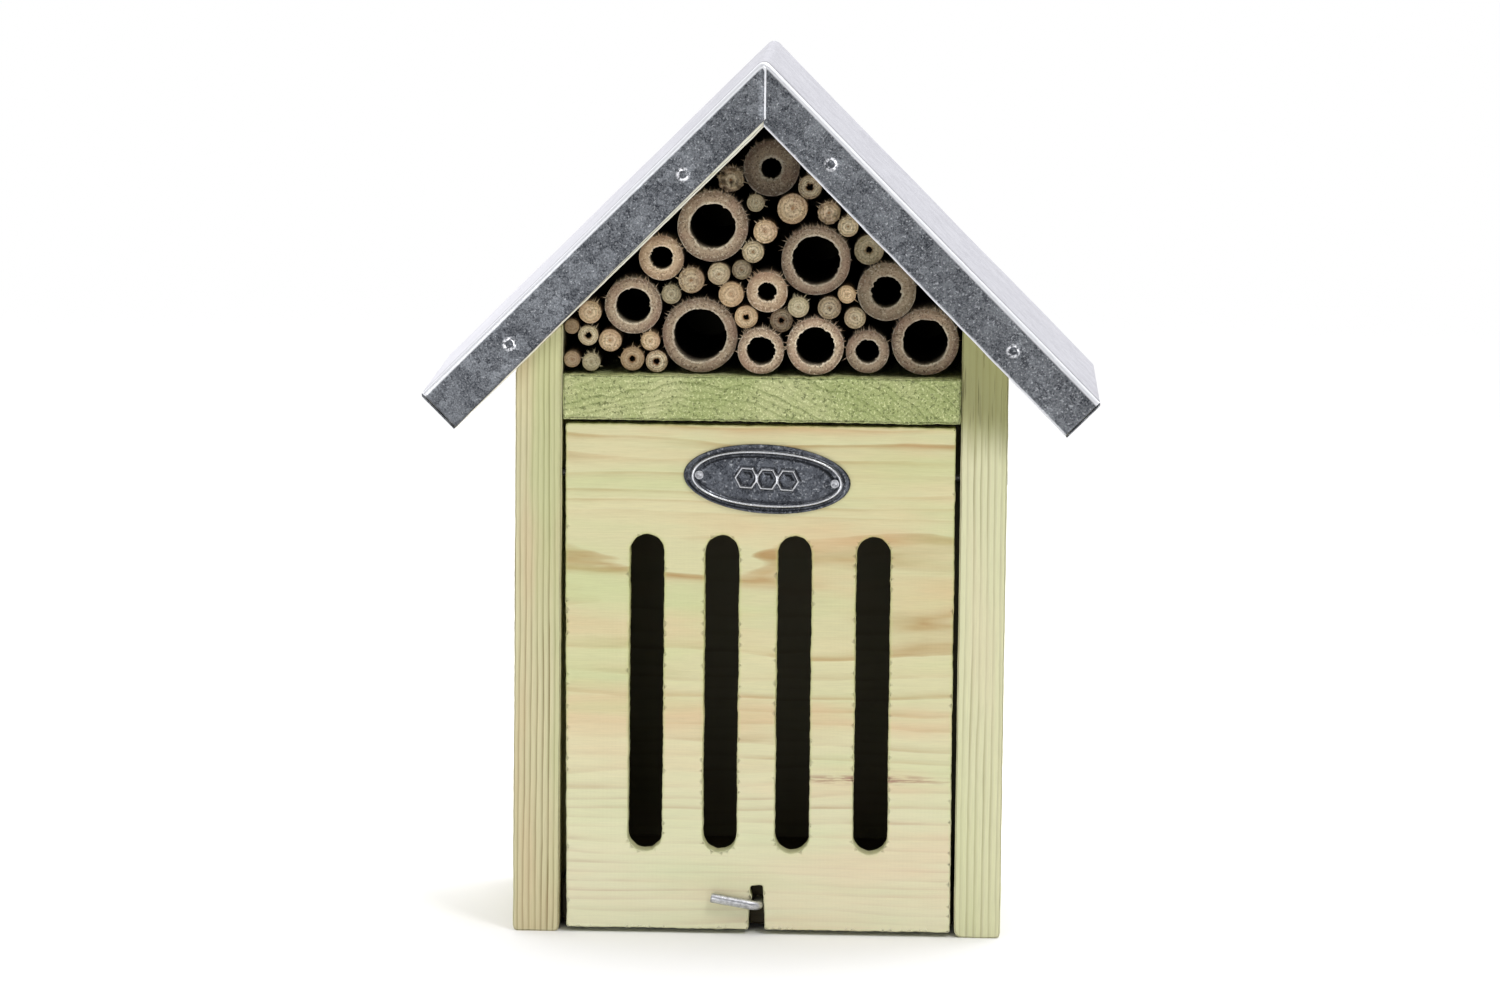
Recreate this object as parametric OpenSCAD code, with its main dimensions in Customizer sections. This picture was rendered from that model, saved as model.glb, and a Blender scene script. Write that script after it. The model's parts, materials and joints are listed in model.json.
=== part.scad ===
// Insect hotel: a small pine house under a folded zinc roof. Bamboo tubes and
// reed stems fill the gable, and a slotted front panel hangs from two nails
// over an empty chamber. The front faces -Y, and the base stands on z = 0.

/* [Body] */
// Width across the outer faces of the side boards
body_w = 175.6; // [174:0.2:180]
// Depth from the front edges to the back of the back board
body_d = 106; // [96:1:120]
// Thickness of the side boards
side_t = 16.9; // [15:0.1:17]
// Thickness of the back board
back_t = 12; // [10:0.5:15]
// Thickness of the shelf and the floor board
shelf_t = 16.4; // [14:0.2:18]
// Height of the shelf's upper face
shelf_top = 201.9; // [196:0.1:202]
// Height of the floor board's underside, which clears what the house stands on
floor_bottom = 2; // [0:0.5:3]
// Chamfer on the right side board's lower inner corner
foot_chamfer = 1.6; // [0.5:0.1:3]

/* [Roof] */
// Width across the eaves
roof_w = 240.8; // [236:0.2:260]
// Height of the ridge's sharp corner, before it is rounded
ridge_z = 315.9; // [315:0.1:325]
// How far the roof stands out in front of the body
overhang = 16; // [12:0.5:20]
// Thickness of the roof's sheet metal
sheet_t = 0.6; // [0.4:0.1:1]
// Depth of the sheet's turned-down edges
fold_depth = 17; // [14:0.5:18]
// Outer radius of the fold along the ridge
ridge_r = 3; // [2:0.5:4]
// Outer radius of the folds along the other edges
edge_r = 1.2; // [1:0.1:2]
// Thickness of the left roof board, whose edge shows below the sheet
left_roof_t = 16.6; // [16:0.1:18]
// Thickness of the right roof board
right_roof_t = 15.2; // [14:0.1:16]

/* [Front panel] */
// Thickness of the front panel
panel_t = 8; // [7:0.5:10]
// Gap between the panel and the shelf above it
panel_top_gap = 1.3; // [1:0.1:3]
// Height of the panel's lower edge
panel_bottom = 1.8; // [1:0.1:4]
// Gaps at the panel's upper left, lower left, upper right and lower right corners
panel_gaps = [1.1, 2.6, 1.8, 1.4];
// Width of the entry slots
slot_w = 12; // [8:0.5:14]
// Length of the entry slots
slot_l = 114.6; // [100:0.2:116]
// Height of the slots' lower ends
slot_bottom = 30; // [26:0.5:34]
// Middles of the four slots, across the panel
slot_x = [-40.3, -13.5, 12.4, 40.5];
// Width of the hook's notch at the panel's lower edge
notch_w = 5.9; // [5:0.1:8]
// Height of the notch's top
notch_top = 17.8; // [16:0.1:22]
// Distance of the hinge nails below the panel's upper edge
hinge_drop = 18; // [16:0.5:20]

/* [Hook] */
// Diameter of the turn hook's wire
hook_d = 3.6; // [3:0.1:4]
// Length of the turn hook's arm
hook_arm = 17.4; // [12:0.2:20]
// Height of the hook's shank
hook_z = 10.9; // [10:0.1:12]
// Angle of the arm above the horizontal
hook_tilt = 9.5; // [0:0.5:20]
// Gap between the arm and the panel
hook_gap = 0.8; // [0.5:0.1:2]
// Radial clearance of the hook's shank where it turns in the floor board
hook_fit = 0.05; // [0.02:0.01:0.1]

/* [Name plate] */
// Length of the oval plate
plate_l = 59; // [54:1:64]
// Height of the oval plate
plate_h = 24.6; // [20:0.2:28]
// Distance of the plate's middle to the right of the body's middle
plate_x = 2.2; // [-3:0.1:3]
// Height of the plate's middle
plate_z = 165.2; // [163:0.1:167]
// Turn of the plate, clockwise from the front
plate_turn = 3; // [0:0.5:6]

/* [Nails] */
// Diameter of the hinge nails
hinge_d = 2.5; // [2:0.1:3]
// Radial clearance of the hinge nails in the panel
hinge_fit = 0.05; // [0.02:0.01:0.1]
// Diameter of the nails that hold the boards
board_nail_d = 2; // [1.6:0.1:2.5]

/* [Hidden] */
$fn = 48;
eps = 0.01;
slope = sqrt(0.5);          // sine and cosine of the roof's 45 degree pitch
nail_head_d = 2 * board_nail_d;
nail_head_t = 0.8;
side_nail_l = 38;
back_nail_l = 36;
roof_nail_l = 30;
roof_nail_inset = 3.4;      // from the body's outer face, where a roof nail enters it
hinge_nail_l = 30;
sheet_nail_d = 1.8;
sheet_nail_l = 22;
sheet_nail_head_d = 3;
nail_proud = 0.5;           // how far the sheet's nail heads stand out
sheet_nail_at = [[-1, 49], [-1, 135], [1, 43], [1, 135]];  // side, distance down the slope
sheet_nail_u = 9.2;         // below the roof's outer face
plate_nail_d = 1.4;
plate_nail_l = 10;
plate_nail_head_d = 3.2;
plate_nail_head_t = 0.6;
plate_nail_x = 24.2;
hook_bend = 3;              // radius of the hook's bend, at the middle of the wire
hook_shank_l = 38;
hook_point_gap = 0.5;       // left beyond the shank in its bore
hanger_t = 1.5;
hanger_z = 236;
hanger_size = [40, 22];
keyhole_d = 9;
keyhole_slot = [4.4, 8];
hanger_screw_x = 14.5;
hanger_screw_d = 3;
hanger_screw_l = 12;
pocket_depth = 6;           // room for a screw's head behind the keyhole
plate_t = 0.8;
bead_h = 0.5;
bead_inset = 3.2;
bead_w = 1;
cell_r = 4.2;               // honeycomb cell on the plate, from its middle to a corner
cell_pitch = 7.3;

// Places along Y, with the whole part centred on the origin
front_y = -(body_d + hanger_t - overhang - nail_proud) / 2;
back_y = front_y + body_d;
board_back_y = back_y - back_t;
roof_front_y = front_y - overhang;
roof_d = back_y + sheet_t - roof_front_y;
panel_mid_y = front_y + panel_t / 2;
floor_front_y = front_y + panel_t + 1;

half_in = body_w / 2 - side_t;
shelf_bottom = shelf_top - shelf_t;
panel_top = shelf_bottom - panel_top_gap;
hinge_z = panel_top - hinge_drop;
eave_d = roof_w / 2 / slope;              // slope length, from ridge to eave
channel_d = eave_d - sheet_t;             // where the side folds end
left_under = sheet_t + left_roof_t;       // depth of each board's underside
right_under = sheet_t + right_roof_t;     // below the roof's outer face
hook_x = 0.6;                             // the notch is in the middle of the panel
hook_front_y = front_y - hook_gap - hook_d / 2;

// Bamboo tubes: [x, height above the shelf, outer diameter, bore]
tubes = [
  [2.5, 74, 20, 7.5],
  [-18.2, 53, 25.4, 16.2],
  [18.6, 41.2, 25, 17.4],
  [-36.4, 41.3, 16.2, 8.4],
  [1.4, 29.9, 14.8, 7],
  [43.8, 30.4, 21, 11.2],
  [-46.2, 24.2, 20.4, 12.6],
  [-22.4, 13.8, 26.9, 19],
  [-0.6, 8.8, 16.8, 10.4],
  [18.7, 10.6, 20.6, 14],
  [37.3, 8.9, 15.6, 8.6],
  [57.8, 12.5, 24.2, 16.4]
];

// Reed stems: [x, height above the shelf, diameter, pith hole or 0]
reeds = [
  [-11.8, 69.7, 9.2, 0],
  [16.2, 67.4, 8.6, 2.6],
  [-3, 61.5, 6.5, 0],
  [10, 59.5, 11, 0],
  [23, 58, 8.2, 0],
  [29.9, 53.6, 7.4, 0],
  [0.5, 51.4, 8.6, 0],
  [-3.8, 44, 8, 0],
  [37.4, 45.2, 10.8, 2.4],
  [-7.8, 37.4, 7.2, 0],
  [-15.8, 36.2, 8, 0],
  [-25.6, 33.7, 9.4, 0],
  [-11.4, 28.7, 9.1, 0],
  [29.7, 29.2, 6.6, 0],
  [-32.8, 28.3, 7.2, 0],
  [12.6, 24.7, 7.6, 0],
  [23.6, 24.5, 8.4, 0],
  [32.7, 20.9, 7.8, 0],
  [-6, 20.6, 8.4, 2.2],
  [6.5, 19.4, 8.4, 2],
  [-61.5, 21.9, 8.2, 0],
  [-68, 16.6, 5.4, 0],
  [-62.2, 13.4, 7.4, 2.4],
  [-54.4, 11.6, 8.2, 0],
  [-40.1, 11.5, 7, 0],
  [-67.8, 5, 6, 0],
  [-61, 4, 6.6, 0],
  [-46.4, 5.2, 8.6, 2.2],
  [-37.8, 4.3, 8, 2.2]
];

function two_digits(n) = str(n < 10 ? "0" : "", n);
function tube_name(i) = str("bamboo_tube_", two_digits(i + 1));
function reed_name(i) = str("reed_stem_", two_digits(i + 1));

pine = "#d8d2a4";
end_grain = "#a9b97c";
zinc = "#70747c";
steel = "#b4b6ba";

// An arc's points, anticlockwise from a0 to a1 degrees
function arc(c, r, a0, a1, n = 6) =
  [for (i = [0:n]) let (a = a0 + (a1 - a0) * i / n) [c[0] + r * cos(a), c[1] + r * sin(a)]];
function reversed(p) = [for (i = [len(p) - 1:-1:0]) p[i]];
function mirrored(p) = [for (i = [len(p) - 1:-1:0]) [-p[i][0], p[i][1]]];

// The x and z of a point on the right slope: d along it from the ridge's sharp
// corner, and u below its outer face
function slope_point(d, u) = [(d - u) * slope, ridge_z - (d + u) * slope];

// A profile drawn in X and Z, standing from y0 to y1
module standing(y0, y1) {
  translate([0, y1, 0]) rotate([90, 0, 0]) linear_extrude(y1 - y0) children();
}

// Drawn with X back from the roof's front, Y out of the right slope and Z down it
module on_right_slope() {
  multmatrix([[0, slope, slope, 0], [1, 0, 0, roof_front_y], [0, slope, -slope, ridge_z]])
    children();
}

// A nail along +Z whose head ends at z = 0, with its point at z = length
module nail(d, length, head_d, head_t) {
  cylinder(d = head_d, h = head_t);
  translate([0, 0, head_t - eps]) cylinder(d = d, h = length - head_t - 2 * d + eps);
  translate([0, 0, length - 2 * d]) cylinder(d1 = d, d2 = 0.3, h = 2 * d);
}

// The nails that hold the boards together, used for the nails and their holes.
// The sides are nailed to the shelf and the floor, the back to the sides and the
// shelf, and the roof boards to the sides' sloping tops.
module board_nails_shape() {
  for (side = [-1, 1]) {
    for (y = [front_y + 26, front_y + 72], z = [floor_bottom + shelf_t / 2, shelf_top - shelf_t / 2])
      translate([side * body_w / 2, y, z]) rotate([0, -side * 90, 0])
        nail(board_nail_d, side_nail_l, nail_head_d, nail_head_t);
    for (z = [24, 100, 176])
      translate([side * (body_w - side_t) / 2, back_y, z]) rotate([90, 0, 0])
        nail(board_nail_d, back_nail_l, nail_head_d, nail_head_t);
    for (y = [front_y + 16, front_y + 60])
      mirror([side < 0 ? 1 : 0, 0, 0]) on_right_slope()
        translate([y - roof_front_y, -sheet_t, roof_nail_d(side)]) rotate([90, 0, 0])
          nail(board_nail_d, roof_nail_l, nail_head_d, nail_head_t);
  }
  for (x = [-45, 45])
    translate([x, back_y, shelf_top - shelf_t / 2]) rotate([90, 0, 0])
      nail(board_nail_d, back_nail_l, nail_head_d, nail_head_t);
}

// How far down the slope the roof nails are, so that they run into the side boards
function roof_nail_d(side) =
  (body_w / 2 - roof_nail_inset) / slope + (side < 0 ? left_under : right_under);

// Drawn along +Z, inwards from each side's outer face on the panel's axis
module on_hinge_axis() {
  for (side = [-1, 1])
    translate([side * body_w / 2, panel_mid_y, hinge_z]) rotate([0, -side * 90, 0]) children();
}

// The two nails that the panel turns on, driven tight through the side boards
module hinge_nails_shape() {
  on_hinge_axis() nail(hinge_d, hinge_nail_l, 2 * hinge_d, nail_head_t);
}

module sheet_nail() { nail(sheet_nail_d, sheet_nail_l, sheet_nail_head_d, nail_proud); }

// The nails through the sheet into the roof boards' ends, front and back
module sheet_nails_shape() {
  for (at = sheet_nail_at)
    mirror([at[0] < 0 ? 1 : 0, 0, 0]) on_right_slope() {
      translate([-nail_proud, -sheet_nail_u, at[1]]) rotate([0, 90, 0])
        sheet_nail();
      translate([roof_d + nail_proud, -sheet_nail_u, at[1]]) rotate([0, -90, 0])
        sheet_nail();
    }
}

// The space under the roof boards, as a profile in X and Z
module under_roof_2d() {
  low = -1;
  left_x = -roof_w / 2;
  right_x = roof_w / 2;
  left_z = ridge_z - 2 * left_under * slope;
  right_z = ridge_z - 2 * right_under * slope;
  polygon([
    [left_x, low], [right_x, low], [right_x, right_z - right_x],
    [(right_z - left_z) / 2, (right_z + left_z) / 2], [left_x, left_z + left_x]
  ]);
}

module side_board(side) {
  color(pine) difference() {
    standing(front_y, board_back_y) intersection() {
      translate([side < 0 ? -body_w / 2 : half_in, 0]) square([side_t, ridge_z]);
      under_roof_2d();
    }
    if (side > 0)
      standing(front_y - 1, back_y) translate([half_in, 0]) rotate(45)
        square(foot_chamfer * 2 * slope, center = true);
    board_nails_shape();
    hinge_nails_shape();
  }
}

module left_side_board() { side_board(-1); }
module right_side_board() { side_board(1); }

// A keyhole hanger needs room behind it for the head of the screw it hangs on
module hanger_pocket() {
  for (dz = [0, keyhole_slot[1]])
    translate([0, back_y + 1, hanger_z + dz]) rotate([90, 0, 0])
      cylinder(d = keyhole_d + 2, h = pocket_depth + 1);
  translate([-keyhole_d / 2 - 1, back_y - pocket_depth, hanger_z])
    cube([keyhole_d + 2, pocket_depth + 1, keyhole_slot[1]]);
}

module back_board() {
  color(pine) difference() {
    standing(board_back_y, back_y) intersection() {
      translate([-body_w / 2, 0]) square([body_w, ridge_z]);
      under_roof_2d();
    }
    hanger_pocket();
    hanger_screws_shape();
    board_nails_shape();
  }
}

module shelf_board() {
  color(end_grain) difference() {
    translate([-half_in, front_y, shelf_bottom])
      cube([2 * half_in, board_back_y - front_y, shelf_t]);
    board_nails_shape();
  }
}

// The floor stands back behind the panel, and its front edge holds the hook
module floor_board() {
  color(pine) difference() {
    translate([-half_in, floor_front_y, floor_bottom])
      cube([2 * half_in, board_back_y - floor_front_y, shelf_t]);
    board_nails_shape();
    hook_shank(hook_d + 2 * hook_fit, hook_shank_l + hook_point_gap);
  }
}

// Takes the sharp upper edges off the right roof board's front and back ends,
// to clear the inside of the sheet's folds
module roof_board_chamfers() {
  on_right_slope()
    for (at = [sheet_t, roof_d - sheet_t])
      translate([at, -sheet_t, eave_d / 2]) rotate([0, 0, 45])
        cube([0.6, 0.6, eave_d + 20], center = true);
}

// The left board runs up to the ridge, with its corner rounded under the fold
module left_roof_board() {
  inner_r = ridge_r - sheet_t;
  color(pine) difference() {
    standing(roof_front_y + sheet_t, back_y) polygon(mirrored(concat(
      [
        slope_point(channel_d, left_under), slope_point(channel_d, sheet_t + inner_r),
        slope_point(channel_d - inner_r, sheet_t)
      ],
      arc(slope_point(ridge_r, ridge_r), inner_r, 45, 135),
      [slope_point(sheet_t, left_under)]
    )));
    mirror([1, 0, 0]) roof_board_chamfers();
    board_nails_shape();
    sheet_nails_shape();
  }
}

// The right board butts against the left one's underside
module right_roof_board() {
  inner_r = ridge_r - sheet_t;
  color(pine) difference() {
    standing(roof_front_y + sheet_t, back_y) polygon([
      slope_point(channel_d, right_under), slope_point(channel_d, sheet_t + inner_r),
      slope_point(channel_d - inner_r, sheet_t), slope_point(left_under, sheet_t),
      slope_point(left_under, right_under)
    ]);
    roof_board_chamfers();
    board_nails_shape();
    sheet_nails_shape();
  }
}

// Across the roof's depth: two turned-down sides joined by the top, with round folds
module channel_2d(depth) {
  inner_r = edge_r - sheet_t;
  polygon(concat(
    [[roof_d, -depth]],
    arc([roof_d - edge_r, -edge_r], edge_r, 0, 90),
    arc([edge_r, -edge_r], edge_r, 90, 180),
    [[0, -depth], [sheet_t, -depth]],
    reversed(arc([edge_r, -edge_r], inner_r, 90, 180)),
    reversed(arc([roof_d - edge_r, -edge_r], inner_r, 0, 90)),
    [[roof_d - sheet_t, -depth]]
  ));
}

// One slope of the sheet. The side folds end in a gap that tapers from the
// corner down, and the left front fold grows shallower towards the ridge.
module sheet_slope(taper) {
  gap = 1.5;
  on_right_slope() difference() {
    translate([0, 0, ridge_r]) linear_extrude(channel_d - ridge_r) channel_2d(fold_depth);
    for (x = [-1, roof_d - 1])
      translate([x, 0, 0]) rotate([0, 90, 0]) linear_extrude(2)
        polygon([[-channel_d + gap, 1], [-channel_d, -fold_depth], [-channel_d - 1, 1]]);
    translate([-1, 0, 0]) rotate([0, 90, 0]) linear_extrude(2)
      polygon([
        [1, -fold_depth + taper], [-channel_d - 1, -fold_depth],
        [-channel_d - 1, -fold_depth - 1], [1, -fold_depth - 1]
      ]);
  }
  standing(roof_front_y + edge_r, roof_front_y + roof_d - edge_r) polygon(concat(
    [slope_point(channel_d, fold_depth), slope_point(eave_d, fold_depth)],
    arc(slope_point(eave_d - edge_r, edge_r), edge_r, -45, 45),
    [slope_point(channel_d - 4, 0), slope_point(channel_d - 4, sheet_t)],
    reversed(arc(slope_point(eave_d - edge_r, edge_r), edge_r - sheet_t, -45, 45))
  ));
}

// The fold along the ridge: the channel's upper part turned about the fold's axis
module ridge_fold() {
  translate([0, roof_front_y, ridge_z - 2 * ridge_r * slope]) rotate([-90, 0, 0])
    rotate([0, 0, -135]) rotate_extrude(angle = 90)
      intersection() {
        translate([ridge_r, 0]) rotate(90) mirror([0, 1]) channel_2d(ridge_r);
        square([ridge_r, roof_d]);
      }
}

// One piece of sheet, slit down the front and back folds under the ridge
module roof_sheet() {
  slit = 0.3;
  slit_top = ridge_z - 2 * ridge_r * slope;
  color(zinc) difference() {
    union() {
      sheet_slope(0.2);
      mirror([1, 0, 0]) sheet_slope(1.5);
      ridge_fold();
    }
    for (y = [roof_front_y - 1, back_y - 1 + sheet_t])
      translate([0.4, y, slit_top - 40]) cube([slit, 2, 40]);
    sheet_nails_shape();
  }
}

module sheet_nails() { color(steel) sheet_nails_shape(); }
module board_nails() { color(steel) board_nails_shape(); }
module hinge_nails() { color(steel) hinge_nails_shape(); }

// The panel's outline narrows to the left at its foot
module panel_outline_2d() {
  difference() {
    polygon([
      [-half_in + panel_gaps[0], panel_top], [-half_in + panel_gaps[1], panel_bottom],
      [half_in - panel_gaps[3], panel_bottom], [half_in - panel_gaps[2], panel_top]
    ]);
    for (x = slot_x) {
      for (z = [slot_w / 2, slot_l - slot_w / 2])
        translate([x, slot_bottom + z]) circle(d = slot_w);
      translate([x - slot_w / 2, slot_bottom + slot_w / 2])
        square([slot_w, slot_l - slot_w]);
    }
    polygon([
      [-notch_w / 2, panel_bottom - 1], [notch_w / 2, panel_bottom - 1],
      [notch_w / 2 - 0.5, notch_top], [-notch_w / 2 + 0.5, notch_top]
    ]);
  }
}

module front_panel() {
  color(pine) difference() {
    standing(front_y, front_y + panel_t) panel_outline_2d();
    on_hinge_axis() cylinder(d = hinge_d + 2 * hinge_fit, h = hinge_nail_l + 1);
    plate_nails_shape();
  }
}

// The hook's straight shank, or the bore for it in the floor board's front edge
module hook_shank(d, end) {
  translate([hook_x, hook_front_y + hook_bend, hook_z]) rotate([-90, 0, 0])
    cylinder(d = d, h = end - hook_bend);
}

// A square-bent screw hook: the arm turns down to pass the notch
module turn_hook() {
  tip_r = 1;
  color(steel) {
    hook_shank(hook_d, hook_shank_l);
    translate([hook_x, hook_front_y, hook_z]) rotate([0, hook_tilt - 90, 0]) {
      translate([0, hook_bend, hook_bend]) rotate([0, 90, 0]) rotate([0, 0, -90])
        rotate_extrude(angle = 90) translate([hook_bend, 0]) circle(d = hook_d);
      translate([0, 0, hook_bend]) rotate_extrude() polygon(concat(
        [[0, 0], [hook_d / 2, 0]],
        arc([hook_d / 2 - tip_r, hook_arm - hook_bend - tip_r], tip_r, 0, 90),
        [[0, hook_arm - hook_bend]]
      ));
    }
  }
}

// Drawn flat in X and Y, standing on the panel's face and turned with the plate
module on_plate() {
  translate([plate_x, front_y, plate_z]) rotate([0, plate_turn, 0]) rotate([90, 0, 0]) children();
}

module oval_2d(inset) {
  a = plate_l / 2 - inset;
  b = plate_h / 2 - inset;
  polygon([for (i = [0:71]) [a * cos(i * 5), b * sin(i * 5)]]);
}

// An oval plate with a raised bead and three raised honeycomb cells
module name_plate() {
  color(zinc) difference() {
    on_plate() {
      linear_extrude(plate_t) oval_2d(0);
      linear_extrude(plate_t + bead_h) difference() {
        oval_2d(bead_inset - bead_w);
        oval_2d(bead_inset);
      }
      for (x = [-cell_pitch, 0, cell_pitch])
        linear_extrude(plate_t + bead_h) translate([x, 0]) difference() {
          circle(r = cell_r, $fn = 6);
          circle(r = cell_r - bead_w, $fn = 6);
        }
    }
    plate_nails_shape();
  }
}

module plate_nails_shape() {
  on_plate()
    for (x = [-plate_nail_x, plate_nail_x])
      translate([x, 0, plate_t + plate_nail_head_t]) rotate([180, 0, 0])
        nail(plate_nail_d, plate_nail_l, plate_nail_head_d, plate_nail_head_t);
}

module plate_nails() { color(steel) plate_nails_shape(); }

// Its round hole goes over a wall screw's head, and the slot holds the shank
module hanger_plate() {
  color(zinc) difference() {
    standing(back_y, back_y + hanger_t) translate([0, hanger_z]) difference() {
      translate([0, keyhole_slot[1] / 2]) square(hanger_size, center = true);
      circle(d = keyhole_d);
      translate([-keyhole_slot[0] / 2, 0]) square(keyhole_slot);
      translate([0, keyhole_slot[1]]) circle(d = keyhole_slot[0]);
    }
    hanger_screws_shape();
  }
}

// Countersunk screws, flush with the plate
module hanger_screws_shape() {
  for (x = [-hanger_screw_x, hanger_screw_x])
    translate([x, back_y + hanger_t, hanger_z + keyhole_slot[1] / 2]) rotate([90, 0, 0]) {
      cylinder(d1 = 2 * hanger_screw_d, d2 = hanger_screw_d, h = hanger_t);
      cylinder(d = hanger_screw_d, h = hanger_screw_l - hanger_screw_d);
      translate([0, 0, hanger_screw_l - hanger_screw_d])
        cylinder(d1 = hanger_screw_d, d2 = 0.4, h = hanger_screw_d);
    }
}

module hanger_screws() { color(steel) hanger_screws_shape(); }

// A cane lies front to back, its end a little behind the shelf's front edge
module cane(at, recess) {
  from_y = front_y + recess;
  length = board_back_y - from_y;
  translate([at[0], from_y, shelf_top + at[1]]) rotate([-90, 0, 0]) difference() {
    cylinder(d = at[2], h = length);
    if (at[3] > 0)
      translate([0, 0, -1]) cylinder(d = at[3], h = length + 2);
  }
}

left_side_board();
right_side_board();
back_board();
shelf_board();
floor_board();
left_roof_board();
right_roof_board();
roof_sheet();
sheet_nails();
board_nails();
front_panel();
hinge_nails();
turn_hook();
name_plate();
plate_nails();
hanger_plate();
hanger_screws();
for (i = [0:len(tubes) - 1])
  color("#a98f76") cane(tubes[i], 2 + i % 4);
for (i = [0:len(reeds) - 1])
  color("#c8b084") cane(reeds[i], 1.5 + i % 5);
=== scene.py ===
"""The looks of an insect hotel: pine boards, bamboo and reeds, under a folded galvanised roof.

The object's lengths are in millimetres until a mesh is made, and the studio's are in metres.
The front of the house faces -Y.
"""

import json
import math
import random

import bpy
import numpy as np
from mathutils import Matrix, Vector, geometry, kdtree, noise


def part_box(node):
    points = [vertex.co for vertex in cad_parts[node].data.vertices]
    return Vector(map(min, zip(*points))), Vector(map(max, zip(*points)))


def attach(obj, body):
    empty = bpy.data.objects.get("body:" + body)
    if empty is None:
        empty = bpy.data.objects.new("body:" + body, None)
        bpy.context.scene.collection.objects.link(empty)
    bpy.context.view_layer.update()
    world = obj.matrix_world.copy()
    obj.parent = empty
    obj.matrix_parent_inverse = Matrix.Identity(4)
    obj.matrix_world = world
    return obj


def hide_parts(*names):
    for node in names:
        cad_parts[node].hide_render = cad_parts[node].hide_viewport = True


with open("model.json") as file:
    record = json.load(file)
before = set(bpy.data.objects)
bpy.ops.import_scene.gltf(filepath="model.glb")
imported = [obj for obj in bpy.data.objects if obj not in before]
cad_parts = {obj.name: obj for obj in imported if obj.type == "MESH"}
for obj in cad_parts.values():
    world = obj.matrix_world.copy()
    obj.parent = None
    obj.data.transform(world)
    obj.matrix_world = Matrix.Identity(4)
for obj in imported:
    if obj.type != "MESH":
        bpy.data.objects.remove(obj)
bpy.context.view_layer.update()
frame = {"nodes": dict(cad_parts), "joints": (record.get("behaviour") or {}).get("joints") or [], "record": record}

MM = 0.001
SLOPE = math.sqrt(0.5)  # sine and cosine of the roof's pitch


def box_mm(node):
    """A CAD node's lowest and highest corners, in millimetres."""
    low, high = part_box(node)
    return low / MM, high / MM


# ------------------------ measures

shelf_low, shelf_high = box_mm("shelf_board")
left_low, left_high = box_mm("left_side_board")
right_low, right_high = box_mm("right_side_board")
back_low, back_high = box_mm("back_board")
floor_low, floor_high = box_mm("floor_board")
panel_low, panel_high = box_mm("front_panel")
sheet_low, sheet_high = box_mm("roof_sheet")
openings = {o["name"]: o["box_m"] for o in frame["record"]["physics"]["openings"]}

SHEET_T = 0.6
FOLD = 17.0
EDGE_R = 1.2
RIDGE_R = 3.0
ridge_z = sheet_high.z + RIDGE_R * (math.sqrt(2) - 1)
eave_d = (sheet_high.x + SHEET_T * SLOPE) / SLOPE
roof_front = sheet_low.y
roof_back = sheet_high.y
left_line = left_high.z - left_high.x  # z + |x| along the left board's sloping top
right_line = right_high.z + right_low.x
left_under = (ridge_z - left_line) * SLOPE
right_under = (ridge_z - right_line) * SLOPE
front_y = shelf_low.y


# ------------------------ shader nodes

def srgb(red, green, blue):
    """A colour given as the eye sees it, 0 to 255, in the linear values that nodes take."""
    def linear(value):
        value /= 255
        return value / 12.92 if value <= 0.04045 else ((value + 0.055) / 1.055) ** 2.4
    return (linear(red), linear(green), linear(blue), 1)


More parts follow.
